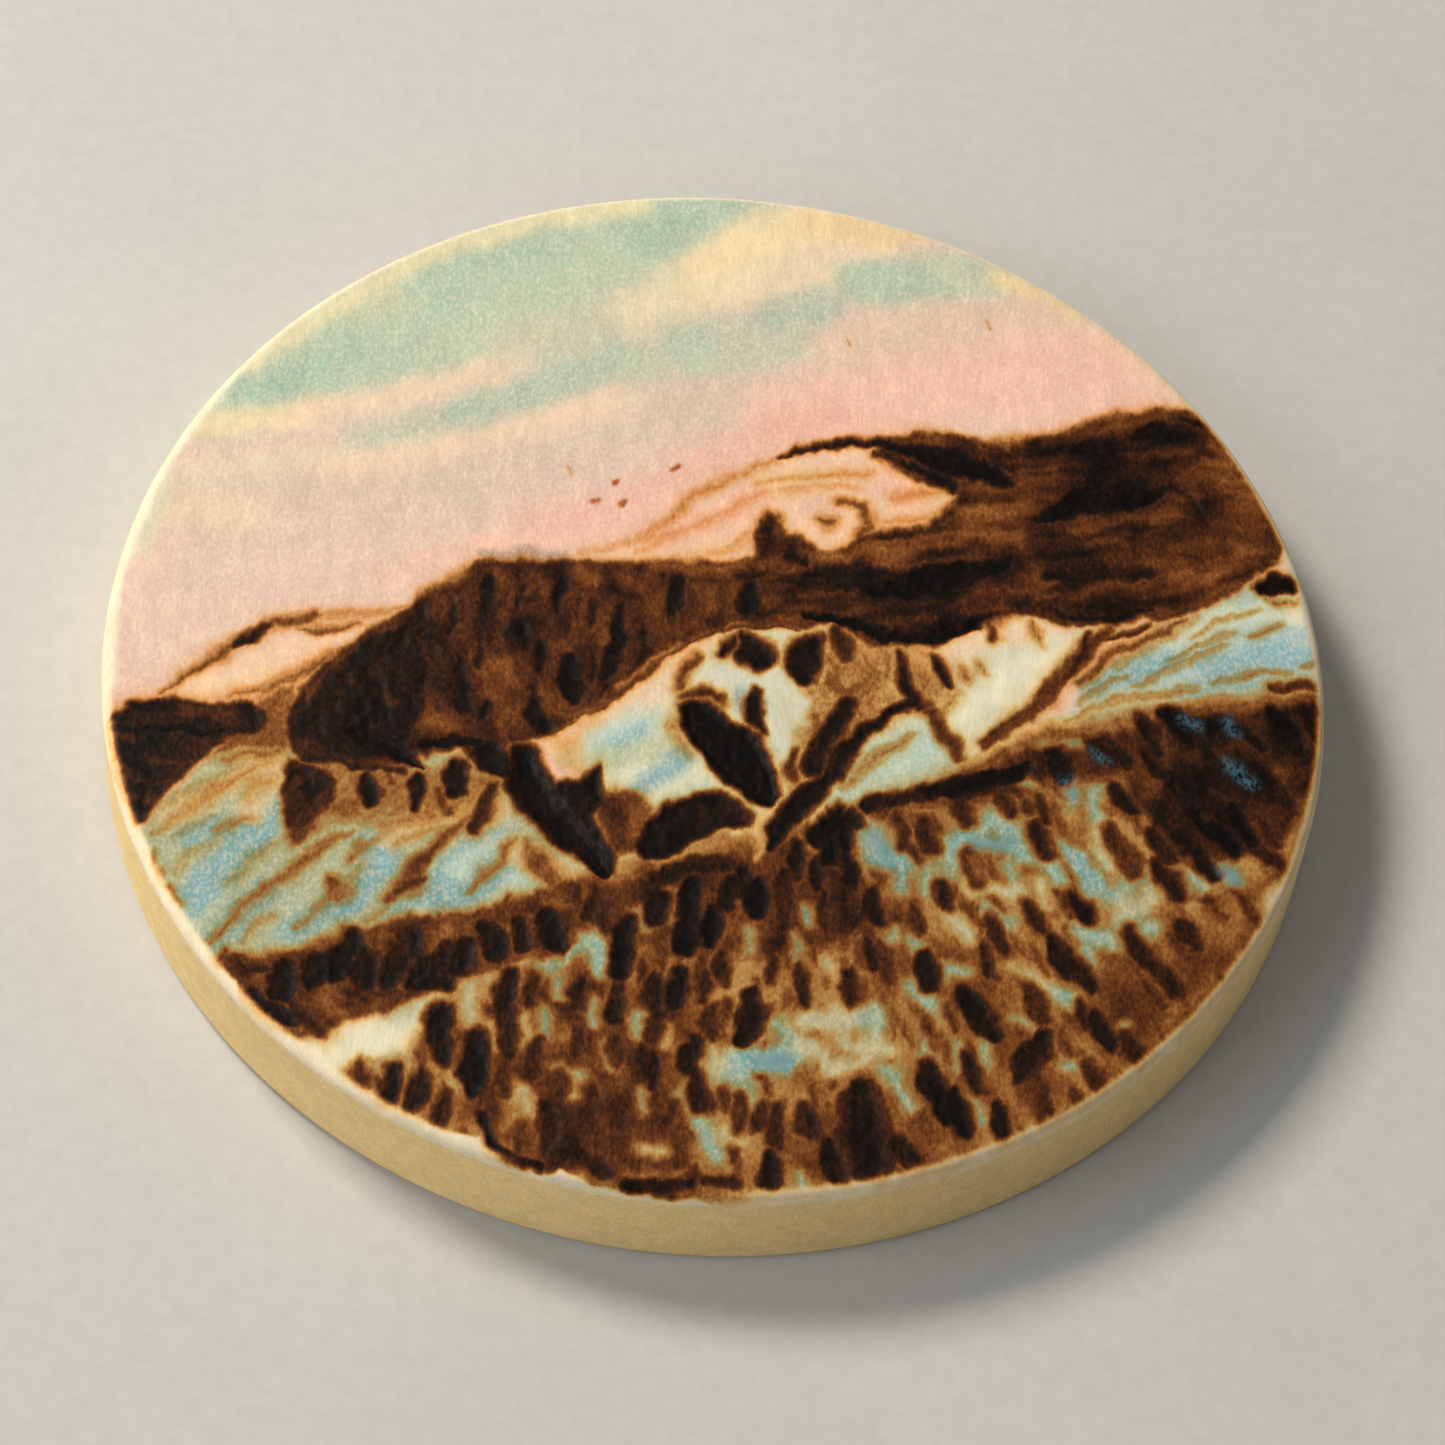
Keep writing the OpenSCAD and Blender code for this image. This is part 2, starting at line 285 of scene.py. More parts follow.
    def pencil(self, strength, width, points, soft=0.3):
        """A line of blue pencil over everything else."""
        at = self.near(points, width + soft * 2)
        beyond, _ = self.reach(at, points, width)
        f = strength * (1 - step(-soft, soft, beyond))
        self.blue[at] = np.maximum(self.blue[at], f)

    # ---- lists of marks
    def washes(self, text):
        """One wash from each line: colour, strength, width, softness and path."""
        for colour, strength, width, soft, points in marks(text, 4):
            self.wash(colour, strength, points, width, soft)

    def strokes(self, text, **looks):
        """One stroke from each line: heat, radii along it and path."""
        for level, radii, points in marks(text, 2):
            self.stroke(level, radii, points, **looks)

    def eases(self, strength, soft, text):
        """One ease from each line: heat, radii along it and path."""
        for level, radii, points in marks(text, 2):
            self.ease(level, strength, radii, points, soft)

    def pencils(self, strength, text):
        """One pencil line from each line: width and path."""
        for width, points in marks(text, 1):
            self.pencil(strength, width, points)


# ---------------------------------------------------------------- the picture, from the sky to the rim

# The marks in these lists were placed one mark to a line. The small dabs that
# cover the near hill and the foreground come from seeded random draws.

SOFT_BLACK = dict(halo=0, soft=0.42, core=0.15)  # looks of the black marks on the near hill


def sky(f):
    """Bands of teal, cream, peach and pink."""
    f.washes("""
        DUSK 1 26 1 -260,80 260,160
        # grey-pink field under the bands
        GREY_PINK .5 1.4 2.4 -210,76 -140,90 -60,110 10,140 60,156
        GREY_PINK .35 1 1.6 -210,36 -150,50 -100,76
        240,202,182 .6 1.2 2 -220,-10 -190,30 -120,50
        # lower cream line
        240,219,184 .7 .3 1.1 -230,86 -140,102 -90,116 -36,136
        # second teal band
        TEAL .5 .6 1.2 -144,109 -110,122
        TEAL .7 .9 1 -105,126 -70,141 -42,156
        PALE_TEAL .6 1 .8 -32,153 -12,161
        # upper teal field
        PALE_TEAL .95 3.2 1.6 -210,142 -140,166 -80,186 -40,210 0,236
        PALE_TEAL .9 2.4 1 -160,186 -100,210 -40,230
    """)
    for x, y in path("-190,136 -154,149 -124,204 -90,210 -36,232 -26,220 -130,180 -168,166"):
        f.wash(COLOURS["TEAL"], 0.45, [(x, y), (x + 1.4, y + 0.5)], 0.7, 1.5)
    f.washes("""
        212,208,168 .55 .7 .9 -152,176 -138,180
        TEAL .6 .7 1.1 -206,131 -170,140
        TEAL .4 .7 .8 -14,238 6,244
        # peach streak under the upper field
        PEACH .9 .45 .9 -228,112 -200,115 -170,121
        248,214,182 .9 .45 .9 -180,119 -130,133 -96,146
        250,214,184 .8 .4 .9 -160,90 -126,100 -86,115 -46,129
        238,214,184 .8 .4 .8 -96,148 -84,154
        218,205,178 .6 .8 1 -86,162 -46,178 -30,190
        # peach wedge up to the top edge
        CREAM .8 .9 1.3 -32,182 -6,202 22,226
        PEACH 1 1.1 1.1 -4,206 20,222 44,236 70,234
        APRICOT .75 .8 .9 46,234 84,232
        CREAM .8 .8 .9 -6,188 24,202 50,209
        # teal patches to the right
        TEAL .55 .8 1.1 -16,166 12,172 44,184
        TEAL .4 .7 .6 26,184 48,192
        PALE_TEAL .6 .5 .7 -10,153 16,158 40,166
        PALE_TEAL .85 1.2 1 66,202 94,207 120,207
        TEAL .4 .9 .9 66,204 84,203
        TEAL .25 .6 .7 80,187 100,194
        # yellow at the upper right
        246,214,158 .9 .5 .8 126,207 142,199 154,188
        # pinks near the ridges
        240,203,176 .8 .9 1.2 50,162 100,182 140,184
        224,192,172 .45 .5 .8 74,169 126,186
        SALMON .95 1.5 1.3 30,126 80,142 130,156 164,162
        SALMON .8 1.2 1.2 130,140 180,150
        250,206,168 .8 .6 1 176,174 202,149
        PINK .7 .5 1.4 -74,64 -40,76 -10,98 24,119 50,129
        SALMON .8 .4 .8 -96,54 -50,62 -14,86
        250,190,168 .55 .3 .8 -136,37 -106,52
        PEACH .45 .6 1 -226,68 -196,66
        222,222,186 .8 .5 .8 -240,50 -234,80
        # bare margin
        248,228,178 .85 .3 .8 -196,146 -172,172 -123,210 -72,232 -34,241
        255,240,205 .8 .25 .35 -246,-20 -248,30 -232,90 -203,145
    """)


def sky_flecks(f):
    """A few red flecks and thin brown ticks."""
    for x, y in [(-5.2, 7.8), (-4.3, 9), (-4, 7.8), (-1.9, 9.8)]:
        f.stroke(0.3, 0.09, [(x, y), (x + 0.14, y + 0.08)], soft=0.1, halo=0.05, depth=0.01)
        f.wash((176, 74, 66), 0.9, [(x, y), (x + 0.14, y + 0.08)], 0.1, 0.1)
    for x, y in [(-6, 9.2), (5.8, 16.5), (11.8, 17.8), (15.5, 19.2)]:
        f.stroke(0.55, 0.03, [(x, y), (x - 0.14, y + 0.5)], soft=0.08, halo=0.03, depth=0)


def far_slope(f):
    """The pale slope under the thin far line."""
    f.fill((250, 206, 174), 1, path("-224,-26 -210,-15 -192,-2 -166,7 -146,12 -170,-17 -200,-28"), 0.2)
    f.washes("252,216,176 .8 .3 .5 -208,-21 -180,-15")


def dome(f):
    """The pink dome."""
    f.fill((252, 205, 172), 1, path("""
        -50,50 -20,64 0,82 30,104 60,114 90,104 110,84 96,66 40,50 0,49
    """), 0.2)
    f.washes("""
        250,186,162 .8 .5 .7 -24,62 4,73 16,84
        250,186,162 .7 .5 .6 72,92 82,86
        240,190,170 .6 .3 .4 41,80 48,76
        244,212,170 .8 .3 .5 22,92 50,96
    """)


def middle_snow(f):
    """The pale snow in the middle, with blue shadows."""
    f.fill(COLOURS["SNOW"], 1, path("""
        -74,-44 -40,-18 -8,14 20,20 60,14 90,14 130,30 160,24 120,-38 90,-60 40,-78 20,-96 -40,-102
        -50,-60
    """), 0.3)
    f.washes("""
        250,206,168 .9 .45 .5 -66,-44 -40,-24 -22,-4 -6,11
        238,208,176 .8 .4 .6 -34,-26 -16,-6
        AQUA .8 .6 .8 -46,-46 -30,-32
        BLUE .7 .25 .5 -42,-46 -32,-36
        190,200,160 .8 .4 .5 -46,-50 -20,-44
        BLUE .75 .35 .5 -32,-64 -14,-49
        AQUA .8 .4 .5 -22,-76 -6,-64
        214,196,150 .7 .4 .5 -34,-86 -20,-76
        AQUA .9 .9 .7 18,-16 26,-32
        224,220,196 .8 .5 .5 -6,-9 10,-5
        AQUA 1 .8 .6 50,-62 70,-44 84,-36 92,-48 72,-56
        228,196,158 .8 .7 .6 54,10 80,6 94,0
        248,214,180 .9 .6 .7 90,9 114,19 140,19
        244,238,208 1 .8 .7 106,-26 114,-14 130,-2 138,8
        220,222,192 .7 .4 .5 102,-33 112,-24
    """)


def snowfield(f):
    """The blue snowfield at the right."""
    f.fill((178, 206, 202), 1, path("130,-38 150,-10 176,14 220,46 270,60 270,-10 200,-14"), 0.3)
    f.washes("""
        214,226,206 .9 .5 .5 186,20 210,29 236,36
        BLUE .7 .45 .5 154,-8 184,6
        BLUE .6 .45 .5 204,4 226,12 246,10
        BLUE .45 .3 .4 196,-6 220,-1
        214,206,168 .8 .3 .5 134,-30 154,-18 180,-12
        238,216,176 .9 .3 .4 132,-32 146,-27
        242,232,200 .9 .4 .4 242,32 246,58 236,64
    """)


def blue_valley(f):
    """The tinted ground of the valley at the left."""
    f.fill((176, 188, 160), 1, path("""
        -230,-90 -200,-50 -170,-46 -80,-50 -46,-104 -60,-120 -120,-140 -200,-156 -240,-120
    """), 0.4)
    f.washes("""
        BLUE .8 .5 .5 -210,-94 -190,-86
        BLUE .8 .6 .5 -206,-122 -184,-94
        BLUE .8 .5 .5 -196,-140 -178,-118
        BLUE .8 .5 .5 -166,-136 -146,-120
        BLUE .8 .55 .5 -150,-126 -130,-102
        BLUE .8 .5 .5 -126,-126 -90,-92
        BLUE .8 .5 .5 -112,-126 -84,-106
        BLUE .8 .3 .5 -140,-96 -124,-82
        BLUE .8 .35 .5 -180,-90 -176,-74
        AQUA .9 .3 .4 -104,-106 -90,-92
        AQUA .9 .3 .4 -88,-122 -76,-108
        AQUA .9 .3 .4 -128,-136 -116,-126
        222,196,150 .8 .4 .5 -218,-86 -180,-56
        222,196,150 .8 .5 .5 -186,-80 -176,-60
        222,196,150 .8 .5 .5 -130,-90 -94,-70
        222,196,150 .8 .4 .5 -100,-82 -86,-76
        222,196,150 .8 .5 .5 -80,-96 -60,-106
    """)


def lower_left_snow(f):
    """The small pale patch at the lower left."""
    f.fill((238, 232, 200), 1, path("-162,-190 -114,-162 -104,-164 -114,-196 -150,-198"), 0.3)
    f.washes("""
        190,204,184 .8 .3 .5 -126,-172 -110,-166
        AQUA .7 .3 .4 -124,-220 -106,-219
    """)


def far_line(f):
    """The thin line of the far hills at the left."""
    f.strokes(".56 .14,.26,.26,.26,.3,.26 -224,-24 -212,-13 -200,-3 -191,5 -180,11 -165,15", halo=0.25)
    f.strokes(".9 .2,.36,.2 -196,0 -190,6 -182,10", halo=0.1)
    f.strokes(".4 .16,.16,.12 -166,15 -148,17.5 -129,21", halo=0.2, depth=0.02)
    f.strokes(".55 .12,.32,.24,.1 -172,9 -164,8 -154,11 -145,14", halo=0.12, core=0.5)
    f.strokes(".46 .15,.26,.3,.3 -196,-26 -182,-22 -169,-14 -156,-4", halo=0.3, depth=0.03)


def spur(f):
    """The dark spur at the left rim."""
    f.area(0.5, path("-186,-26 -172,-18 -169,-30 -174,-50 -190,-50 -204,-56 -196,-44"), halo=0.5)
    outline = path("""
        -252,-40 -243,-36 -233,-29 -220,-26 -206,-28 -190,-29 -182,-30 -182,-41 -195,-45 -201,-51 -209,-59
        -215,-67 -221,-76 -227,-87 -232,-89 -237,-80 -240,-71 -246,-64 -249,-52
    """)
    f.area(0.84, outline, depth=0.08, halo=0.4)
    f.mottle(outline, 0.12, 1.6, 0.3, -3, 31)
    f.strokes("""
        .97 .3,.42,.4,.2 -244,-42 -228,-44 -212,-42 -196,-42
        .95 .3,.4,.2 -236,-32 -226,-31 -216,-30
        .93 .3,.3 -188,-32 -186,-39
        .93 .4,.5,.3 -236,-56 -226,-62 -229,-78
    """, halo=0)
    f.eases(0.7, 0.3, ".7 .3 -215,-34 -196,-34")


def near_hill(f):
    """The near hill: brown ground under many upright black dabs."""
    hill = path("""
        -142,12 -129,20 -123,27 -116,34 -106,38 -100,45 -90,49 -76,48.5 -62,47.5 -40,49 -10,50 18,52 16,19
        6,17.5 -10,11 -24,-2 -40,-20 -52,-29 -69,-41 -84,-46 -92,-59 -100,-53 -104,-47 -120,-52 -123,-58
        -140,-59 -154,-59 -168,-54 -175,-46 -175,-34 -168,-18 -156,-4 -149,3
    """)
    f.area(0.75, hill, depth=0.05)
    f.mottle(hill, 0.1, 0.8, 1.5, 3, 32)
    f.mottle(hill, 0.1, 2, 2, 3, 35)
    f.area(0.9, path("""
        -142,10 -126,17 -118,10 -116,-15 -118,-34 -126,-50 -128,-57 -156,-56 -173,-46 -172,-32 -158,-9
    """), halo=0, soft=0.5)
    for x, y, level in hill_cover(f.random):
        radius, length = f.random.uniform(0.34, 0.46), f.random.uniform(0.5, 1.1)
        f.dabs(level, radius, length, 86, [(x, y)], depth=0.08, **SOFT_BLACK)


def hill_strokes(f):
    """Larger black strokes on the near hill, and brown gaps between them."""
    f.strokes("""
        .96 .3,.5,.4 -94,41 -94,32 -96,20
        .95 .3,.55,.4 -65,44 -65,32 -66,22
        .93 .3,.45,.4 -109,29 -108,20 -110,9
        .96 .4,.56,.4 -15,40 -16,34 -18,23
        .95 .4,.55,.5 -39,28 -40,14 -42,2
        .95 .5,.6,.4 -42,6 -43,-2 -46,-10
        .9 .3,.45,.3 -50,31 -50,25 -51,17
        .92 .3,.45,.4 -80,16 -79,10 -78,4
        .94 .4,.55,.4 -72,8 -72,2 -73,-6
        .98 .6,.85,.7,.4 -61,-3 -60,-10 -59,-17 -57,-23
        .94 .4,.62,.5 -105,-6 -104,-16 -103,-28
        .92 .5,.62,.6 -74,-23 -74,-29 -70,-36
        .86 .3,.4,.3 -31,19 -30,12 -30,6
        .92 .4,.5,.4 -120,20 -126,10 -130,0
        .98 .4,.6,.5 -140,-14 -136,-24 -135,-34
        .9 .3,.4,.3 -82,40 -80,30 -81,23
        .88 .3,.4,.4 -98,8 -96,-1 -98,-6
    """, depth=0.1, **SOFT_BLACK)
    f.eases(0.8, 0.34, """
        .46 .2 -123,28 -114,34 -104,39
        .5 .3 -56,43 -50,39
        .5 .34 -40,43 -34,37
        .46 .24 -26,47 -6,46 10,49
        .54 .4 -5,36 -3,26
        .5 .45 -88,-6 -84,-13
        .58 .4 -90,-20 -88,-28
        .46 .24 -116,-35 -110,-37
        .56 .14 -88,20 -88,4
        .5 .16 -65,5 -62,2
        .48 .12 -63,-28 -58,-30
        .56 .14 -50,-26 -36,-12 -22,4
        .6 .2 -135,-22 -132,-26
        .6 .2 -75,40 -73,32
        .6 .3 -24,32 -26,24
        .62 .24 -57,16 -57,6
    """)
    f.washes("172,156,150 .7 .2 .3 -96,49 -80,51 -64,49")
    f.strokes(".99 .36,.6,.5,.2 -146,-40 -137,-46 -127,-52 -119,-56", halo=0.15, depth=0.2)
    f.strokes(".84 .3,.36,.25 -166,-53 -146,-57 -126,-60", halo=0.2)
    f.strokes(".98 .25,.42,.36 -119,-47 -107,-42 -97,-44", halo=0.15, depth=0.16)
    f.strokes("""
        .98 .6,.8,.5 -95,-47 -91,-52 -86,-58
        .72 .14,.18,.16,.2,.16 -68,-40 -50,-28.5 -36,-14 -22,1 -9,12
    """, halo=0.2)
    f.eases(0.75, 0.14, ".3 .1 -41,-15 -29,-3 -16,8")
    f.strokes(".78 .16,.2,.18,.14 -14,9 0,15 18,18.5 34,17", halo=0.2)


def hill_cover(random):
    """Places and heats for the dabs that cover the near hill."""
    places = []
    for row in range(9):
        for column in range(15):
            x = -16.6 + (column + row % 2 / 2) * 1.05 + random.uniform(-0.2, 0.2)
            y = 4.2 - row * 1.15 + random.uniform(-0.2, 0.2)
            level = random.uniform(0.74, 0.9)
            top = np.interp(x, [-17, -14.5, -12, -10, 0], [-2.6, 0.4, 2.6, 4.2, 4.4])
            low = np.interp(x, [-17, -12, -9, -6.5, 0], [-4.6, -5, -4.4, -3.4, 2.2])
            if low < y < top and random.uniform() < 0.8:
                places.append((x, y, level))
    return places


def gully(f):
    """The gully and the ridge below the middle snow."""
    f.eases(0.7, 0.5, ".3 .5 -62,-46 -56,-56")
    f.eases(0.6, 0.4, ".22 .3 -49,-34 -60,-46")
    f.area(0.93, path("""
        -70,-63 -57,-60 -48,-52 -45,-61 -45,-70 -49,-78 -45,-88 -39,-96 -40,-105 -54,-100 -68,-80 -73,-70
    """), depth=0.1)
    f.strokes("1 .8,1.05,1,.86,.5 -78,-51 -76,-63 -68,-76 -57,-89 -45,-102", depth=0.24)
    f.area(0.64, path("-49,-66 -40,-63 -30,-66 -25,-74 -26,-84 -32,-95 -42,-96 -49,-80"), soft=0.45)
    f.eases(0.7, 0.4, ".78 .4 -44,-72 -39,-80 -39,-90")
    f.eases(0.6, 0.4, ".5 .3 -31,-74 -32,-84")
    ridge = path("-35,-90 -29,-79 -19,-70 -9,-65 2,-64 9,-68 15,-74 15,-81 5,-83 -7,-88 -18,-96 -28,-99")
    f.area(0.95, ridge, soft=0.34, depth=0.12)
    f.eases(0.8, 0.4, ".76 .4 6,-72 12,-77")
    f.eases(0.6, 0.3, ".74 .2 -8,-68 -6,-80")


def boulder(f):
    """The black boulder in the middle, with a painted grey highlight on the dark smear beside it."""
    f.area(0.99, path("""
        -17,-22 -8,-20 0,-22 6,-29 13,-33 20,-43 25,-53 26,-66 22,-71 15,-69 5,-62 -2,-54 -9,-44 -16,-33
    """), soft=0.28, depth=0.2)
    f.strokes(".7 .25,.35,.25 -14,-19 -6,-17 2,-20", halo=0.2, soft=0.3)
    f.strokes(".9 .18,.32,.34,.2 16,-13 14,-20 15,-28 18,-37", halo=0.1, depth=0.08)
    # A grey wash as a painted highlight: the sheen of light on the dark smear beside the boulder.
    f.washes("140,144,142 .8 .14 .3 9,-17 10,-23")


def spine(f):
    """The rocky spine that falls from the shoulder to the boulder."""
    f.area(0.34, path("""
        34,-10 44,4 60,10 84,9 96,-6 98,-16 80,-22 58,-36 44,-54 30,-68 26,-54 34,-40 40,-26
    """), soft=0.7, halo=0.3)
    f.mottle(path("30,10 96,10 96,-20 30,-68"), 0.1, 0.6, 0.9, 40, 41, least=0.15)
    for level, radii, points in marks("""
        .95 .25,.34,.25 6,11 4,7 2,3
        .96 .55,.8,.6 13,10 15,6 19,1
        .97 .6,.85,.8,.5 39,9 36,4 35,-2 36,-8
        .8 .5,.6,.4 49,14 52,10 52,5
        .6 .3,.36,.3 -9,2 -13,-5 -15,-14
        .42 .14,.2,.14 -16,-24 -18,-34 -12,-47
        .46 .2,.3,.3,.2 30,-12 37,-19 41,-29 37,-42
        .55 .3,.4,.4,.3 49,0 47,-9 52,-14 56,-10
        .9 .4,.52,.56,.6,.5 54,-18 50,-26 46,-34 42,-44 38,-52
        .72 .25,.32,.28 32,-44 30,-50 31,-58
        .93 .3,.36,.42,.5,.5 83,-16 72,-22 61,-31 54,-40 45,-55
        .95 .45,.6,.62,.5,.3 44,-57 37,-65 30,-74 24,-82 21,-90
        .86 .25,.42,.42,.36 76,5 76,-4 78,-11 84,-18
        .7 .36,.36,.3 87,-22 93,-33 99,-44
        .92 .25,.4,.3 90,6 91,-1 93,-8
        .44 .3,.36 59,-11 63,-19
        .5 .14,.25 100,0 102,-4
        .5 .14,.2 107,3 108,-1
        .42 .18,.26,.22,.14 79,-35 72,-40 62,-50 53,-59
        .44 .12,.2,.12 50,-61 58,-52 62,-46
        .74 .2,.28 112,22 114,15
        .5 .18,.28,.14 129,23 131,18 133,13
        .52 .2,.3,.2 61,5 65,-3 64,-9
        .46 .2,.3 70,5 69,-6
        .45 .16,.26,.18 98,-12 93,-19 90,-26
        .4 .3,.3 30,-22 33,-36
    """, 2):
        f.stroke(level, [r * 1.12 for r in radii], points, halo=0.2, soft=0.34)
    f.eases(0.95, 0.3, ".06 .6,.85,.6 23,-9 29,-22 26,-34")
    f.washes("226,230,212 .9 .7 .4 22,-8 29,-20 26,-34")
    f.strokes(".9 .18,.3,.32,.2 17,-14 15,-20 16,-28 19,-37", halo=0.1, depth=0.08)
    f.washes("CREAM .9 .2 .3 21,-74 17,-84 15,-94")
    f.eases(0.85, 0.2, ".2 .14,.2,.14 19,-73 17,-84 16,-95")


def dome_lines(f):
    """Soft lines over the dome."""
    f.strokes("""
        .3 .1,.16,.12 -56,51 -36,59 -14,64
        .34 .12,.24,.3,.22,.2 -32,61 -19,71 -9,84 9,95 26,103
        .22 .08,.12,.1 -32,54 -6,69 20,87
        .36 .08,.14,.2,.12 16,91 36,95 52,97 65,99
        .24 .08,.14,.1 26,87 42,90 58,91
        .26 .1,.2,.1 -4,54 10,60 16,66
        .3 .2,.34,.2 74,85 84,89 94,90
        .34 .1,.2,.14 70,74 82,75 92,78
    """, halo=0.25, soft=0.34, depth=0.015, core=0.1, glow=0.2)
    f.strokes(".9 .1,.24,.28,.3,.34 27,104 36,110 48,112.5 60,114.5 74,116.5", halo=0.14)


def long_ridge(f):
    """The long ridge: its scorched ground."""
    ridge = path("""
        66,117 77,120 88,123 98,122 108,117 118,113.5 128,116 138,123 150,126 164,131 175,136 187,139
        202,138 214,134 240,90 255,66 240,66 234,59 224,49 213,40 202,34 190,28 182,25 174,29 162,24
        152,21 144,22 134,27 122,27 112,22 102,16 90,10 74,7.5 63,9.5 54,16 46,19 36,17 20,18 8,18 6,34
        4,49 15,54 16,63 17,72 22,76 27,72 29,66 35,64 42,58 49,57 54,62 64,68 73,71 86,72 94,76 98,82
        99,90 90,93 82,97 74,102 69,107
    """)
    f.area(0.72, ridge, depth=0.05)
    f.area(0.82, path("26,50 50,50 90,56 130,60 140,40 120,24 86,12 50,19 10,20 10,40"), halo=0, soft=0.6)
    f.area(0.8, path("""
        110,114 140,122 180,136 206,136 220,115 200,90 160,80 130,80 110,96
    """), halo=0, soft=0.8)
    f.mottle(ridge, 0.11, 2.6, 0.5, 13, 34)
    f.mottle(ridge, 0.12, 2, 1.3, 13, 36)


def ridge_strokes(f):
    """Black strokes along the long ridge."""
    f.strokes("""
        .98 .3,.7,1.05,.9,.5 70,114 83,112 96,108 110,102 122,97
        .97 .2,.4,.5 67,109 82,104 98,95
        .98 .4,1.1,1.15,.5 134,77 156,89 172,92 188,92
        .93 .5,.8,.6 178,123 186,126 190,129
        .93 .3,.5,.3 196,134 206,132 212,126
        .98 .5,1,1.1,.8,.5 66,37 80,41 94,45 108,49 120,52
        .9 .5,.8,.6 138,50 158,50 180,52
        .86 .4,.5,.4 176,62 190,64 202,60
        .97 .3,.42,.45,.3 138,32 150,27 164,29 180,33
        .9 .4,.5,.4 24,42 36,41 50,42
        1 .6,.75,.6 14,38 12,32 12,27
        .92 .5,.6,.4 30,60 30,55 36,50
        .88 .4,.5,.4 23,73 22,69 23,63
        .9 .3,.42,.3 60,63 70,66 86,70
        .9 .3,.4,.3 92,74 100,80 106,88
        .9 .25,.45,.3 229,89 235,80 239,70
        .86 .3,.5,.3 196,99 202,88 208,78
        .88 .2,.4,.3 206,46 218,52 232,58
        .84 .4,.6,.4 126,104 142,112 160,114
        .8 .3,.5,.3 156,70 170,70 184,72
        .9 .2,.34,.2 108,116 124,112 140,119
        .8 .2,.3,.2 146,123 160,128 172,132
    """, halo=0, soft=0.5, core=0.1)
    f.strokes("1 .36,.45,.56,.5,.36 36,25 54,22 70,15 86,14.5 106,21", halo=0.15, depth=0.16)


def ridge_streaks(f):
    """Amber streaks where the burner passed over the long ridge lightly."""
    f.eases(0.75, 0.3, """
        .44 .2 100,80 112,81 124,78
        .4 .26 102,69 116,70 126,68
        .46 .16 46,54 70,59 100,64
        .42 .12 56,60 80,65 98,69
        .52 .14 150,72 170,78 194,83
        .6 .22 156,66 168,68
        .58 .24 190,64 206,70
        .5 .18 196,44 210,54 220,64
        .5 .14 204,40 216,48
        .44 .14 210,119 224,112
        .38 .12 206,104 228,100
        .36 .14 216,96 230,92
        .46 .12 208,112 226,107
        .52 .14 212,78 228,74
        .52 .14 216,67 232,65
        .56 .2 122,41 136,41
        .58 .14 156,43 174,46
        .6 .2 36,35 56,36
        .64 .18 28,27 40,29
        .5 .24 6,49 20,49
        .46 .2 42,55 54,54
        .62 .2 122,107 136,110
        .66 .24 190,114 200,117
        .62 .2 104,29 120,31
        .56 .12 166,132 176,135
        .6 .16 184,40 196,46
    """)
    f.eases(0.5, 0.9, """
        .6 .9 206,106 220,96 230,80
        .62 .8 166,60 190,66 220,74
        .62 .7 126,66 104,72
    """)
    f.strokes(".6 .2,.3 43,72 48,71", core=0.5, depth=0.03)
    f.strokes(".54 .26,.34,.34,.26 51,82 61,80 64,72 58,65", depth=0.04)
    f.strokes(".98 .4,.6,.5 227,46 234,47.5 240,48", halo=0.25)
    f.strokes(".5 .12,.22,.16 240,39 234,38 229,41", halo=0.2, depth=0.03)


def right_band(f):
    """The brown streak down the shoulder and the marks on the blue snowfield."""
    f.strokes(".66 .2,.4,.46,.46,.3 164,23 153,11 141,-5 126,-22 108,-38", halo=0.3, core=0.3)
    f.strokes("""
        .82 .2,.3,.2 156,18 150,8 144,-4
        .78 .14,.2,.2 130,-16 120,-25 108,-36
    """, halo=0)
    f.strokes(".56 .3,.4,.3,.14 149,-6 162,8 176,17 194,28", halo=0.25, core=0.5, depth=0.03)
    f.strokes(".8 .14,.24,.14 159,16 170,21 180,24", halo=0.1)
    f.strokes("""
        .34 .08,.16,.14,.08 172,-7 186,2 200,9 209,16
        .28 .1,.16,.1 144,-24 160,-15 180,-9
        .5 .1,.2,.12 219,19 227,23 234,28
        .26 .1,.18,.1 164,2 180,16 198,30
        .42 .14,.24 242,5 250,8
        .3 .08,.14,.08 196,20 210,28 224,35
        .4 .1,.2,.14 168,-14 184,-9 198,-5
        .44 .1,.2,.12 204,-3 220,2 236,3
        .34 .1,.16,.1 186,6 200,16 214,22
        .36 .08,.14,.1 148,-16 158,-8 168,-2
    """, halo=0.14, depth=0.02, core=0.2)


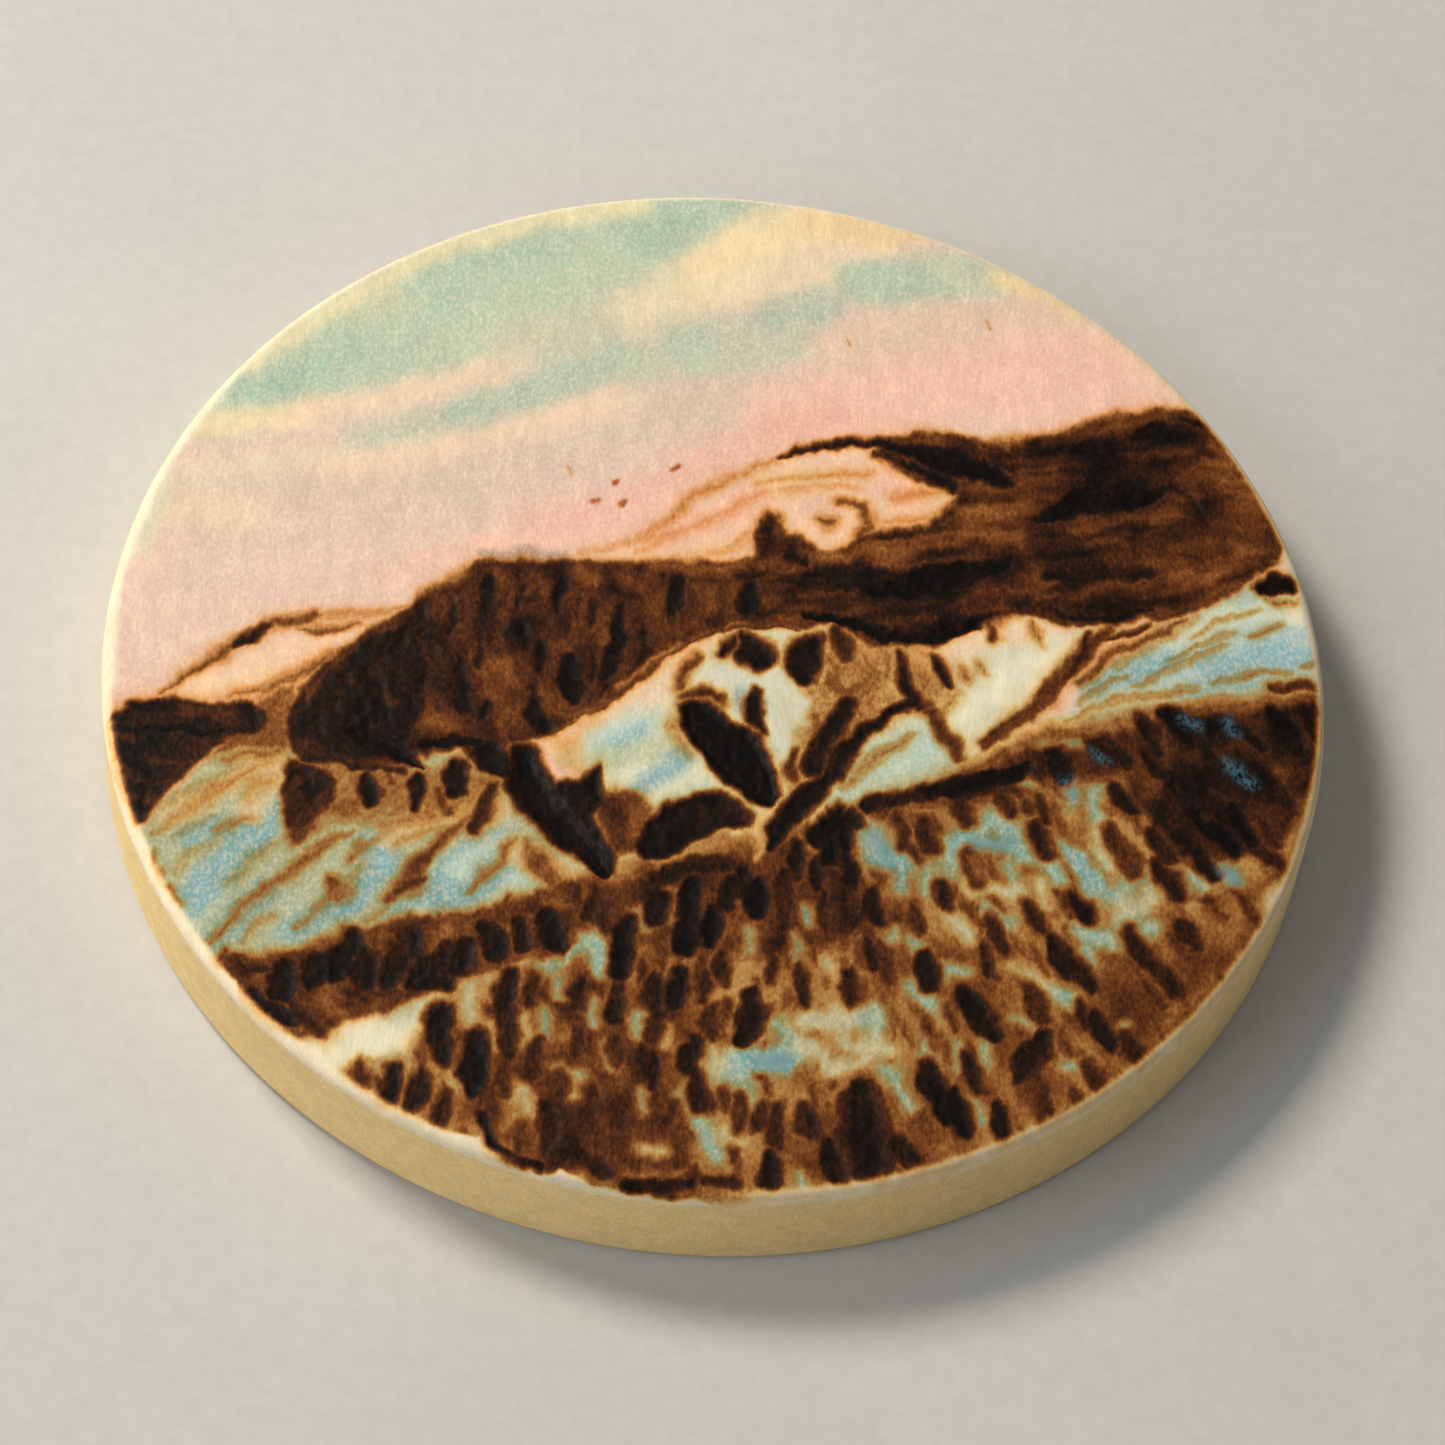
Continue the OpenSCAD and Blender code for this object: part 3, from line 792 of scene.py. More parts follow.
def valley(f):
    """The dabs at the foot of the hill and the slanting strokes over the blue valley."""
    f.area(0.42, path("-173,-54 -120,-56 -86,-58 -88,-76 -110,-80 -140,-82 -166,-90"), soft=0.5, halo=0.3)
    f.area(0.8, path("""
        -173,-53 -162,-56 -155,-60 -152,-70 -154,-81 -159,-85 -164,-94 -168,-98 -171,-86 -174,-70
    """), halo=0.3, depth=0.06)
    f.strokes(".9 .4,.55,.35 -165,-62 -163,-70 -160,-79", halo=0)
    f.eases(0.7, 0.3, ".52 .25 -168,-93 -161,-88")
    f.strokes("""
        .92 .46,.66,.4 -140,-63 -139,-69 -139,-76
        .9 .36,.48,.34 -121,-62 -120,-69 -121,-78
        .94 .5,.75,.5 -104,-55 -105,-61 -104,-68
        .64 .3,.4 -112,-68 -108,-76
        .78 .4,.55,.4 -90,-65 -93,-75 -97,-86
        .66 .16,.24 -132,-59 -129,-66
        .42 .2,.36,.3 -150,-76 -140,-82 -128,-80
        .4 .25,.36 -132,-86 -114,-79
        .44 .2,.3 -196,-56 -178,-51
    """, halo=0.34)
    for level, radius, (start, end) in marks("""
        .34 .2 -224,-94 -179,-56
        .28 .16 -220,-80 -190,-59
        .56 .3 -224,-104 -220,-118
        .5 .26 -219,-118 -213,-124
        .48 .24 -199,-142 -168,-108
        .36 .2 -184,-128 -166,-106
        .5 .26 -172,-114 -152,-94
        .34 .2 -192,-114 -174,-96
        .5 .2 -162,-98 -144,-90
        .46 .22 -146,-104 -135,-92
        .7 .3 -129,-120 -106,-88
        .66 .24 -116,-102 -99,-80
        .72 .26 -127,-120 -117,-108
        .32 .3 -208,-76 -194,-66
        .3 .3 -188,-74 -178,-64
        .42 .2 -164,-134 -146,-114
        .42 .2 -138,-130 -116,-114
        .56 .24 -97,-114 -84,-100
        .5 .2 -86,-102 -81,-92
        .36 .3 -198,-92 -186,-84
        .34 .16 -170,-89 -154,-87
        .38 .2 -156,-128 -140,-106
        .36 .18 -188,-132 -176,-120
        .3 .1 -216,-96 -202,-84
        .4 .16 -186,-142 -174,-129
        .26 .12 -214,-110 -198,-96
        .4 .14 -126,-94 -106,-84
        .3 .14 -138,-94 -124,-86
    """, 2):
        middle = ((start[0] + end[0]) / 2 - 0.1, (start[1] + end[1]) / 2 + 0.12)
        radii = [radius * 0.8, radius * 1.4, radius * 0.7]
        f.stroke(level, radii, [start, middle, end], soft=0.36, halo=0.3, depth=0.015, glow=0.2, core=0.1)
    f.strokes(".54 .36,.56,.45 -152,-112 -149,-116 -150,-120", halo=0.2, core=0.6, depth=0.04)
    f.strokes(".56 .4,.66,.5 -74,-94 -70,-101 -64,-109", halo=0.3, soft=0.3, depth=0.04)
    f.mottle(path("-240,-90 -174,-50 -86,-60 -54,-110 -200,-150"), 0.07, 0.3, 2, -42, 36)


def front_row(f):
    """The row of dark dabs that runs down to the left rim, over amber ground."""
    row = path("""
        -204,-150 -190,-146 -170,-147 -150,-137 -124,-128 -100,-125 -80,-118 -60,-108 -52,-110 -54,-138
        -64,-144 -84,-150 -110,-162 -126,-170 -146,-178 -152,-186 -174,-182 -188,-170 -192,-160
    """)
    f.fill((206, 192, 156), 1, row, 0.3)
    f.area(0.64, row, halo=0.3, depth=0.03)
    f.mottle(row, 0.14, 0.7, 1.1, 70, 37)
    f.dabs(0.95, 0.86, 0.95, 76, path("""
        -169,-159 -157,-153 -148,-150 -137,-152 -128,-152 -117,-152 -108,-148 -100,-145 -144,-143
        -122,-142
    """), depth=0.12, halo=0.25, soft=0.24)
    f.strokes("""
        .98 .4,.6,.45 -181,-166 -176,-171 -167,-176
        .82 .4,.5,.36 -165,-170 -159,-177 -154,-182
        .84 .3,.36 -184,-153 -176,-153
        .92 .55,.7,.6 -91,-132 -88,-138 -87,-143
        .9 .5,.66,.56 -79,-129 -77,-135 -77,-140
        .96 .7,.85,.75 -68,-126 -65,-131 -64,-136
        .92 .36,.44 -119,-159 -106,-157
        .72 .3,.4 -139,-163 -126,-162
    """, halo=0.25, soft=0.22)
    f.dabs(0.66, 0.3, 0.9, 70, path("""
        -194,-150 -148,-139 -134,-137 -122,-132 -110,-130 -96,-130 -84,-123 -72,-119 -59,-114 -142,-166
        -162,-149
    """), depth=0.05, halo=0.3, soft=0.28)
    f.eases(0.6, 0.3, """
        .4 .25 -154,-166 -146,-174
        .42 .2 -160,-143 -148,-138
    """)


def lean(x):
    """Angle of the front dabs: upright on the left, their tops leaning left towards the right."""
    return 90 + min(max((x - 2) * 2, -4), 32)


def foreground(f):
    """The scorched ground, covered with brown dabs."""
    ground = path("""
        -52,-104 -34,-97 -20,-94 0,-84 20,-90 34,-80 56,-68 78,-60 90,-55 100,-46 116,-41 130,-36 142,-30
        154,-24 172,-20 186,-14 200,-10 220,-9 234,-7 256,-3 256,-80 200,-180 100,-260 -100,-260 -116,-226
        -136,-210 -148,-199 -132,-193 -118,-190 -112,-176 -106,-160 -80,-150 -60,-143 -54,-126
    """)
    f.fill((196, 184, 146), 1, ground, 0.3)
    f.area(0.36, ground, halo=0.25, depth=0.02)
    f.area(0.7, path("""
        130,-33 180,-19 230,-10 254,-9 250,-44 228,-84 206,-90 186,-89 168,-72 159,-54 136,-54 110,-66
        80,-70 30,-86 60,-104 64,-120 50,-136 20,-142 -20,-146 -54,-130 -54,-110 -20,-99 6,-90 40,-80
        90,-56
    """), soft=0.6, halo=0.5, glow=0.5)
    f.area(0.82, path("""
        136,-32 180,-19 254,-8 250,-44 228,-86 206,-92 186,-90 170,-74 160,-54
    """), soft=0.7, halo=0.3)
    f.area(0.66, path("""
        -110,-180 -90,-160 -60,-150 -10,-154 10,-178 -4,-200 -10,-240 -60,-245 -100,-220
    """), soft=0.9, halo=0.5)
    f.area(0.52, path("""
        70,-126 130,-130 190,-106 240,-80 190,-170 120,-220 80,-240 20,-246 10,-214 60,-200 84,-166
    """), soft=0.9, halo=0.5)
    f.mottle(ground, 0.12, 0.9, 1.6, 4, 38)
    f.mottle(ground, 0.12, 2.4, 2.8, 0, 39)
    for x, y, level in cover(f.random):
        level += 0.05 if x < 4 else -0.02
        radius, length = f.random.uniform(0.36, 0.56), f.random.uniform(0.7, 1.4)
        f.dabs(level, radius, length, lean(x), [(x, y)], halo=0.3, depth=0.04, soft=0.42, core=0.3)


def foreground_gaps(f):
    """Small tinted gaps that show between the dabs."""
    for colour, width, points in marks("""
        WATER .4 -56,-139 -47,-137 -46,-148
        WATER .2 -70,-149 -58,-145
        MIST .28 -97,-158 -96,-168 -95,-175
        BLUE .22 -68,-168 -67,-180
        BLUE .24 -62,-194 -54,-198
        WATER .14 -42,-160 -41,-168
        WATER .16 -43,-184 -42,-194
        BLUE .2 -20,-112 -21,-126
        BLUE .22 -32,-122 -29,-130
        WATER .14 12,-129 12,-138
        WATER .14 4,-108 4,-120
        WATER .6 4,-190 16,-189 30,-185
        BLUE .4 14,-188 26,-189
        WATER .3 24,-172 32,-182
        WATER .24 9,-196 11,-206
        MIST .4 36,-182 44,-192
        MIST .5 34,-170 56,-169
        WATER .28 61,-164 61,-176
        WATER .3 65,-192 70,-198 73,-208
        MIST .34 50,-180 66,-182
        WATER .26 80,-180 82,-192
        WATER .3 75,-154 83,-162
        WATER .16 93,-179 92,-188
        WATER .16 105,-179 104,-188
        WATER .3 87,-145 96,-145
        WATER .4 60,-79 64,-90 72,-95
        BLUE .26 64,-94 73,-95 73,-109
        WATER .42 91,-91 99,-83 111,-73 121,-83 123,-90
        BLUE .32 96,-86 106,-85 117,-86
        WATER .2 92,-90 92,-100
        WATER .22 117,-94 120,-107
        MIST .3 100,-107 110,-106 119,-109
        MIST .34 92,-120 98,-128
        WATER .3 152,-59 152,-74
        MIST .34 153,-80 155,-94
        WATER .4 140,-87 146,-95 152,-106 160,-111
        BLUE .22 142,-90 148,-102
        MIST .45 160,-120 168,-114 174,-106
        WATER .42 144,-127 156,-129 172,-123
        WATER .26 145,-134 147,-140
        WATER .3 186,-99 193,-103
        BLUE .3 201,-95 206,-98
        MIST .22 117,-141 126,-150 139,-158
        WATER .2 134,-155 140,-159
        WATER .2 116,-165 123,-169
        WATER .2 156,-174 159,-168
        WATER .2 135,-188 145,-186
        MIST .26 -28,-228 -22,-230
        WATER .3 -13,-204 -6,-220 -1,-232
        WATER .16 -31,-204 -29,-212
        WATER .22 32,-238 33,-243
        BLUE .2 122,-53 127,-55
        BLUE .2 133,-37 146,-36
        BLUE .24 141,-55 142,-63
        WATER .18 70,-127 68,-132
        BLUE .16 30,-130 31,-138
        BLUE .2 35,-119 37,-125
        MIST .26 44,-143 48,-148
        MIST .2 2,-220 8,-224
        MIST .3 223,-104 219,-110
        MIST .16 -79,-208 -81,-218
        MIST .3 -76,-172 -75,-182
        MIST .2 -89,-176 -87,-186
        WATER .24 -50,-164 -48,-174
        MIST .24 -58,-200 -56,-208
        MIST .2 -20,-174 -20,-184
        WATER .2 -32,-170 -31,-178
        MIST .24 -76,-204 -74,-214
        MIST .26 -129,-197 -122,-195
        MIST .2 -102,-198 -103,-206
        MIST .24 -2,-184 -2,-192
        WATER .22 -62,-154 -61,-162
        MIST .2 -89,-156 -88,-164
        WATER .3 106,-118 114,-122
        WATER .26 82,-98 84,-108
        MIST .24 128,-104 130,-114
        WATER .3 130,-94 136,-100
        WATER .24 76,-132 80,-138
        MIST .3 48,-190 58,-186
        WATER .24 98,-206 100,-212
        WATER .24 164,-104 170,-98
    """, 2):
        f.wash(colour, 0.95, points, width + 0.15, 0.5)
        f.ease(0.06, 0.94, width, points, 0.4)


def foreground_dabs(f):
    """The dark dabs over the foreground."""
    for level, radius, length, places in [
        (0.77, 0.58, 1.2, path("""
            -54,-160 -55,-182 -72,-160 -70,-190 -81,-184 -82,-200 -39,-186 -37,-212 -25,-174 -5,-156
            -3,-172 2,-148 -137,-200 -106,-214 -49,-210 16,-214 22,-218 114,-63 130,-68 98,-69 43,-118
            54,-114 26,-122 60,-138 78,-122 90,-110 143,-164 212,-114 223,-76 226,-92 110,-128 126,-120
            34,-156 52,-154 66,-146 164,-94 172,-154 186,-126 74,-80 84,-82 102,-97 160,-83 106,-140
            124,-160 8,-212 -62,-204 -18,-214 126,-200 146,-192 162,-180
        """)),
        (0.87, 0.64, 1.35, path("""
            -83,-160 -82,-169 -24,-120 -24,-160 -11,-186 -15,-156 -49,-119 -126,-204 -116,-207 31,-96
            40,-102 52,-98 26,-109 62,-116 129,-83 144,-114 135,-137 143,-145 180,-100 176,-44 162,-38
            196,-32 218,-30 228,-56 188,-62 178,-84 194,-90 150,-170 82,-146 99,-191 109,-213 34,-215
            82,-196 138,-46 164,-62 216,-82 166,-132 176,-144 181,-152 -8,-202 -26,-196 -39,-164
        """)),
        (0.95, 0.7, 1.4, path("""
            -108,-176 -107,-184 -95,-189 -93,-198 -37,-132 -37,-143 -12,-116 -12,-130 -3,-128 10,-106
            15,-114 4,-112 232,-22 236,-34 244,-24 176,-30 188,-26 202,-66 204,-80 196,-74 210,-72 50,-80
            44,-86 86,-206 92,-209
        """)),
    ]:
        for x, y in places:
            f.dabs(
                level, radius, length, lean(x), [(x, y)],
                halo=0.15, depth=0.1 * level, soft=0.36, core=0.2,
            )


def foreground_strokes(f):
    """Larger dark strokes, a few amber gaps and some blue pencil."""
    f.strokes("""
        .92 .6,.8,.7,.5 13,-160 14,-166 12,-172 9,-179
        .93 .5,.72,.7,.5 96,-155 100,-162 105,-169 109,-174
        .9 .5,.8,.8,.5 126,-175 124,-182 119,-188 118,-192
        .92 .5,1.1,1.45,1.2 56,-198 56,-208 56,-220 58,-230
        .9 .6,.7 42,-226 46,-238
        .88 .6,.6 68,-224 74,-231
        .9 .5,.62 20,-232 20,-241
        .86 .5,.66,.5 -67,-212 -66,-220 -66,-228
        .95 .3,.36,.4,.36 -90,-216 -89,-226 -81,-234 -68,-236
        .82 .4,.45 -52,-232 -44,-240
        .88 .4,.45,.4 -36,-245 -26,-246 -12,-245
        .8 .4,.4 -6,-243 6,-242
        .97 .5,.68,.66,.4 86,-62 96,-58 110,-54 126,-48
        .88 .4,.5,.55 60,-69 72,-65 82,-62
        .96 .6,.8,.7 39,-86 46,-81 54,-77
        .86 .4,.6,.5 -26,-106 -10,-100 8,-96
        .86 .25,.4,.3 166,-132 174,-142 182,-154
        .8 .4,.5,.4 94,-234 86,-238 76,-240
        .7 .3,.3 126,-214 144,-202
        .72 .3,.36,.3 246,-5 236,-3 228,-6
    """, halo=0.26, soft=0.24)
    f.eases(0.8, 0.24, ".42 .2 -81,-210 -82,-222")
    f.eases(0.6, 0.4, """
        .36 .3 190,-116 202,-124
        .4 .3 174,-168 194,-146
        .4 .3 239,-60 232,-90 222,-116
        .38 .3 102,-93 104,-99
        .42 .3 4,-90 10,-95
    """)
    f.pencils(0.6, """
        .3 207,-44 215,-52
        .24 202,-94 207,-99
        .22 190,-23 195,-24
        .2 209,-21 211,-28
        .25 62,-82 68,-90
        .2 153,-39 156,-42
        .2 141,-54 142,-60
        .25 102,-86 116,-86
        .25 18,-189 26,-188
    """)


def cover(random):
    """Places and heats for the dabs that cover the foreground, in staggered rows."""
    places = []
    for row in range(24):
        y = -4 - row * 0.9
        for column in range(39):
            x = -14 + (column + row % 2 / 2) + random.uniform(-0.25, 0.25)
            level = random.uniform(0.5, 0.74)
            drawn = random.uniform() < 0.7
            if drawn and math.hypot(x, y) < 25.1 and y < front_line(x):
                places.append((x, y + random.uniform(-0.35, 0.35), level))
    return places


def front_line(x):
    """Height of the foreground's upper edge."""
    edge = path("-140,-204 -110,-186 -80,-158 -50,-116 -10,-98 30,-90 90,-68 150,-36 210,-20 250,-18")
    edge_x, edge_y = edge.T
    return np.interp(x, edge_x, edge_y)


def bare_rim(f):
    """Leaves the wood bare outside the picture's uneven lower-left edge."""
    edge = path("""
        -250,-34 -246,-46 -245,-63 -241,-70 -236,-81 -231,-92 -226,-101 -221,-116 -214,-129 -203,-143
        -196,-154 -188,-160 -185,-171 -175,-181 -162,-186 -153,-192 -144,-201 -132,-212 -122,-219
        -106,-225 -93,-227 -88,-236 -72,-241 -60,-239 -50,-246 -30,-250 0,-252
    """)
    beyond = path("0,-600 -600,-600 -600,-34")
    f.strip_off(np.vstack([edge, beyond]))


def draw(f):
    """The whole picture, from what lies under to what lies over."""
    for part in (
        sky, sky_flecks, far_slope, dome, middle_snow, snowfield, blue_valley, lower_left_snow,
        foreground, foreground_gaps, foreground_dabs, foreground_strokes, front_row, valley,
        dome_lines, long_ridge, ridge_strokes, ridge_streaks,
        far_line, spur, near_hill, hill_strokes, right_band, gully, boulder, spine, bare_rim,
    ):
        part(f)


# ---------------------------------------------------------------- shape of the disc

CELLS = 440  # cells along each side of the square grid that is bent onto the face
PIGMENT = 0.87  # how much of the light a fully tinted place gives back, against its colour
FACE_DROP = 0.03  # the face lies this far below the highest point that the part may reach
FACE_EDGE_R = 0.6
BACK_EDGE_R = 0.5
FACE_EDGE_STEPS = 10
SIDE_STEPS = 20
BACK_EDGE_STEPS = 8
UNDERSIDE_STEPS = 8
POCKET_STEPS = 4
LAYER_CLEARANCE = 0.02  # between a picture layer's underside and the pocket's floor
PAST_EDGE = 1.0  # added to the distance travelled on the side, which is past everything drawn
UNDRAWN = 40.0  # a distance from the middle at which nothing is drawn
HUB = 90.0  # the same, for the middles of the pocket's floor and of the underside
CREASE = 50  # the wood's shading breaks where its faces meet at more than this many degrees

# Where the picture ends at the rim, as distances travelled outward over the face's edge.
FRONT_FROM, FRONT_TO = (248, 254), (268, 276)  # degrees between which the burning runs on
MOST_BURN_ENDS = (24.45, 24.85)  # elsewhere
ALL_BURN_ENDS = (24.9, 25.6)
TINT_ENDS = (24.45, 24.75)
SIDE_COLOUR_STARTS = (25.1, 25.9)
RELIEF_ENDS = 25.8
WOBBLE_STARTS = 24.5
WOBBLE = 0.02  # how far the side is uneven
WOBBLE_TURNS = 25  # scales angles, in radians, to about millimetres along the side
LEVEL_FOOT = 0.4  # the side is even below this height

face_z = disc_t - FACE_DROP


def disc_grid(cells, radius):
    """A square grid bent onto a disc, so that its cells stay about equal and square."""
    side = np.linspace(-1, 1, cells + 1)
    u, v = np.meshgrid(side, side, indexing="ij")
    wide = np.abs(u) > np.abs(v)
    reach = np.where(wide, u, v)
    safe = np.where(reach == 0, 1, reach)
    turn = np.where(wide, math.pi / 4 * v / safe, math.pi / 2 - math.pi / 4 * u / safe)
    return radius * reach * np.cos(turn), radius * reach * np.sin(turn)


def cell_corners(grid):
    """The values at the four corners of each cell, counterclockwise."""
    return grid[:-1, :-1], grid[1:, :-1], grid[1:, 1:], grid[:-1, 1:]


def cell_middles(grid):
    """The mean of the values at the four corners of each cell."""
    return (grid[1:, 1:] + grid[:-1, :-1] + grid[1:, :-1] + grid[:-1, 1:]) / 4


def relief(face):
    """Depth of the surface below the flat face, in millimetres: pressed strokes, crust and grain."""
    char = step(0.74, 0.95, face.burn)
    scorch = step(0.25, 0.6, face.burn)
    fine_crust = smooth_noise(face.x0, face.y0, 0.26, 0.34, 41)
    crust = fine_crust + 0.6 * smooth_noise(face.x0, face.y0, 0.5, 0.7, 42)
    grain = smooth_noise(face.x0, face.y0, 0.22, 1.4, 43)
    return face.depth + 0.010 * char * crust + 0.004 * scorch * crust + 0.004 * grain


def to_linear(srgb):
    """Linear light, from 0 to 1, of an sRGB colour given as 0 to 255."""
    c = np.clip(np.asarray(srgb, float) / 255, 0, 1)
    return np.where(c <= 0.04045, c / 12.92, ((c + 0.055) / 1.055) ** 2.4)


def painted(x, y):
    """The whole picture's fields at some points."""
    face = Face(x, y)
    draw(face)
    return face


def make_mesh(name, points, faces, smooth_count, normals, face):
    """A mesh from points in millimetres and lists of equal-length faces.

    The first smooth_count faces shade smoothly. The fields are stored on the points.
    """
    loops = np.concatenate([f.ravel() for f in faces])
    sizes = np.concatenate([np.full(len(f), f.shape[1]) for f in faces])
    starts = np.concatenate([[0], np.cumsum(sizes)[:-1]])
    mesh = bpy.data.meshes.new(name)
    mesh.vertices.add(len(points))
    mesh.vertices.foreach_set("co", (points * MM).astype(np.float32).ravel())
    mesh.loops.add(len(loops))
    mesh.loops.foreach_set("vertex_index", loops.astype(np.int32))
    mesh.polygons.add(len(sizes))
    mesh.polygons.foreach_set("loop_start", starts.astype(np.int32))
    smooth = np.arange(len(sizes)) < smooth_count
    mesh.polygons.foreach_set("use_smooth", smooth)
    mesh.update(calc_edges=True)
    if normals is not None:
        corner = np.where(np.repeat(smooth, sizes)[:, None], normals[loops], 0)
        mesh.normals_split_custom_set(corner.astype(np.float32))
    put_fields(mesh, face)
    return mesh


def put_fields(mesh, face):
    """Stores the tint, the burn and the blue pencil as the mesh's point attributes."""
    tint = np.ones((len(face.burn), 4), np.float32)
    tint[:, :3] = PIGMENT * to_linear(face.tint)
    mesh.attributes.new("tint", "FLOAT_COLOR", "POINT").data.foreach_set("color", tint.ravel())
    for name in ("burn", "blue"):
        values = getattr(face, name).astype(np.float32)
        mesh.attributes.new(name, "FLOAT", "POINT").data.foreach_set("value", values)


def place(name, mesh, node, slot_name):
    """Puts a piece into the scene in place of a CAD node."""
    obj = bpy.data.objects.new(name, mesh)
    bpy.context.scene.collection.objects.link(obj)
    mesh.materials.append(materials[slot_name])
    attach(obj, "root")
    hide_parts(node)


# ---------------------------------------------------------------- which layer each cell belongs to

def layer_names():
    """The CAD nodes of the picture. A layer's number is its place in this list."""
    return [n for n in sorted(frame["nodes"]) if n != "wood_disc"]


def layer_tops():
    """A search tree of the upward triangles of all CAD layers, and each triangle's layer number."""
    corners = []
    triangles = []
    owners = []
    for number, name in enumerate(layer_names()):
        mesh = frame["nodes"][name].data
        mesh.calc_loop_triangles()
        base = len(corners)
        corners += [v.co.copy() for v in mesh.vertices]
        for t in mesh.loop_triangles:
            if t.normal.z > 0.5:
                triangles.append([base + i for i in t.vertices])
                owners.append(number)
    return BVHTree.FromPolygons(corners, triangles), owners


def cell_owners(x, y):
    """For each grid cell, the number of the CAD layer under its middle, or of the nearest one."""
    tree, owners = layer_tops()
    mid_x, mid_y = cell_middles(x), cell_middles(y)
    result = np.zeros(mid_x.shape, int)
    down = Vector((0, 0, -1))
    for index in np.ndindex(mid_x.shape):
        above = Vector((mid_x[index] * MM, mid_y[index] * MM, 2 * disc_t * MM))
        hit = tree.ray_cast(above, down)[2]
        if hit is None:
            above.z = disc_t * MM
            hit = tree.find_nearest(above)[2]
        result[index] = owners[hit]
    return result


def join_up(owner):
    """Makes every layer one region that never meets itself at a corner.

    Stray cells and the cells at such corners go to a neighbour.
    """
    for _ in range(8):
        strays = stray_cells(owner)
        for i, j in strays:
            give_away(owner, i, j)
        a, b, c, d = cell_corners(owner)
        first = (a == c) & (a != b) & (a != d)
        d[first] = a[first]
        second = (b == d) & (b != a) & (b != c)
        c[second] = b[second]
        if not strays and not first.any() and not second.any():
            break
    return owner


def give_away(owner, i, j):
    """Gives a cell to the layer of the cell before it in one direction, or else in the other."""
    if i and owner[i - 1, j] != owner[i, j]:
        owner[i, j] = owner[i - 1, j]
    else:
        owner[i, j] = owner[i, max(j - 1, 0)]


def stray_cells(owner):
    """Cells outside the largest connected region of their layer."""
    regions = {}
    seen = np.zeros(owner.shape, bool)
    for start in np.ndindex(owner.shape):
        if not seen[start]:
            regions.setdefault(owner[start], []).append(region_from(owner, seen, start))
    strays = []
    for found in regions.values():
        for region in sorted(found, key=len)[:-1]:
            strays += region
    return strays


def region_from(owner, seen, start):
    """The connected cells of one layer around a first one, which it marks as seen."""
    size = owner.shape[0]
    seen[start] = True
    region = [start]
    for i, j in region:
        for p, q in ((i + 1, j), (i - 1, j), (i, j + 1), (i, j - 1)):
            on_grid = 0 <= p < size and 0 <= q < size
            if on_grid and not seen[p, q] and owner[p, q] == owner[start]:
                seen[p, q] = True
                region.append((p, q))
    return region


# ---------------------------------------------------------------- the picture's pieces

def border_edges(mine, index):
    """Directed edges of a region's border, with the region on their left."""
    padded = np.pad(mine, 1)
    near, far = padded[1:-1, :-2], padded[1:-1, 2:]
    left, right = padded[:-2, 1:-1], padded[2:, 1:-1]
    a, b, c, d = cell_corners(index)
    runs = []
    for outside, start, end in ((near, a, b), (right, b, c), (far, c, d), (left, d, a)):
        edge = mine & ~outside
        runs.append(np.stack([start[edge], end[edge]], 1))
    return np.concatenate(runs)


def loops_of(edges):
    """Closed loops of point numbers made of directed edges."""
    following = dict(edges.tolist())
    loops = []
    while following:
        start, at = following.popitem()
        loop = [start]
        while at != start:
            loop.append(at)
            at = following.pop(at)
        loops.append(loop)
    return loops


def floor_faces(edges, x, y):
    """Triangles that fill the region inside its border loops, facing down."""
    loops = loops_of(edges)
    order = [i for loop in loops for i in loop]
    outlines = [[Vector((x[i], y[i], 0)) for i in loop] for loop in loops]
    triangles = np.array([[order[i] for i in t] for t in tessellate_polygon(outlines)])
    p, q, r = (np.stack([x[triangles[:, k]], y[triangles[:, k]]], 1) for k in range(3))
    cross = (q[:, 0] - p[:, 0]) * (r[:, 1] - p[:, 1]) - (q[:, 1] - p[:, 1]) * (r[:, 0] - p[:, 0])
    triangles[cross > 0] = triangles[cross > 0][:, ::-1]
    return triangles


def field_normals(x, y, z):
    """Unit normals of the surface over the bent grid."""
    along_u = np.stack([np.gradient(c, axis=0) for c in (x, y, z)], -1)
    along_v = np.stack([np.gradient(c, axis=1) for c in (x, y, z)], -1)
    normal = np.cross(along_u, along_v)
    return normal / np.linalg.norm(normal, axis=-1, keepdims=True)


def numbering(total, chosen, first):
    """A table from grid point numbers to numbers in a piece, which start at first."""
    table = np.full(total, -1)
    table[chosen] = first + np.arange(len(chosen))
    return table


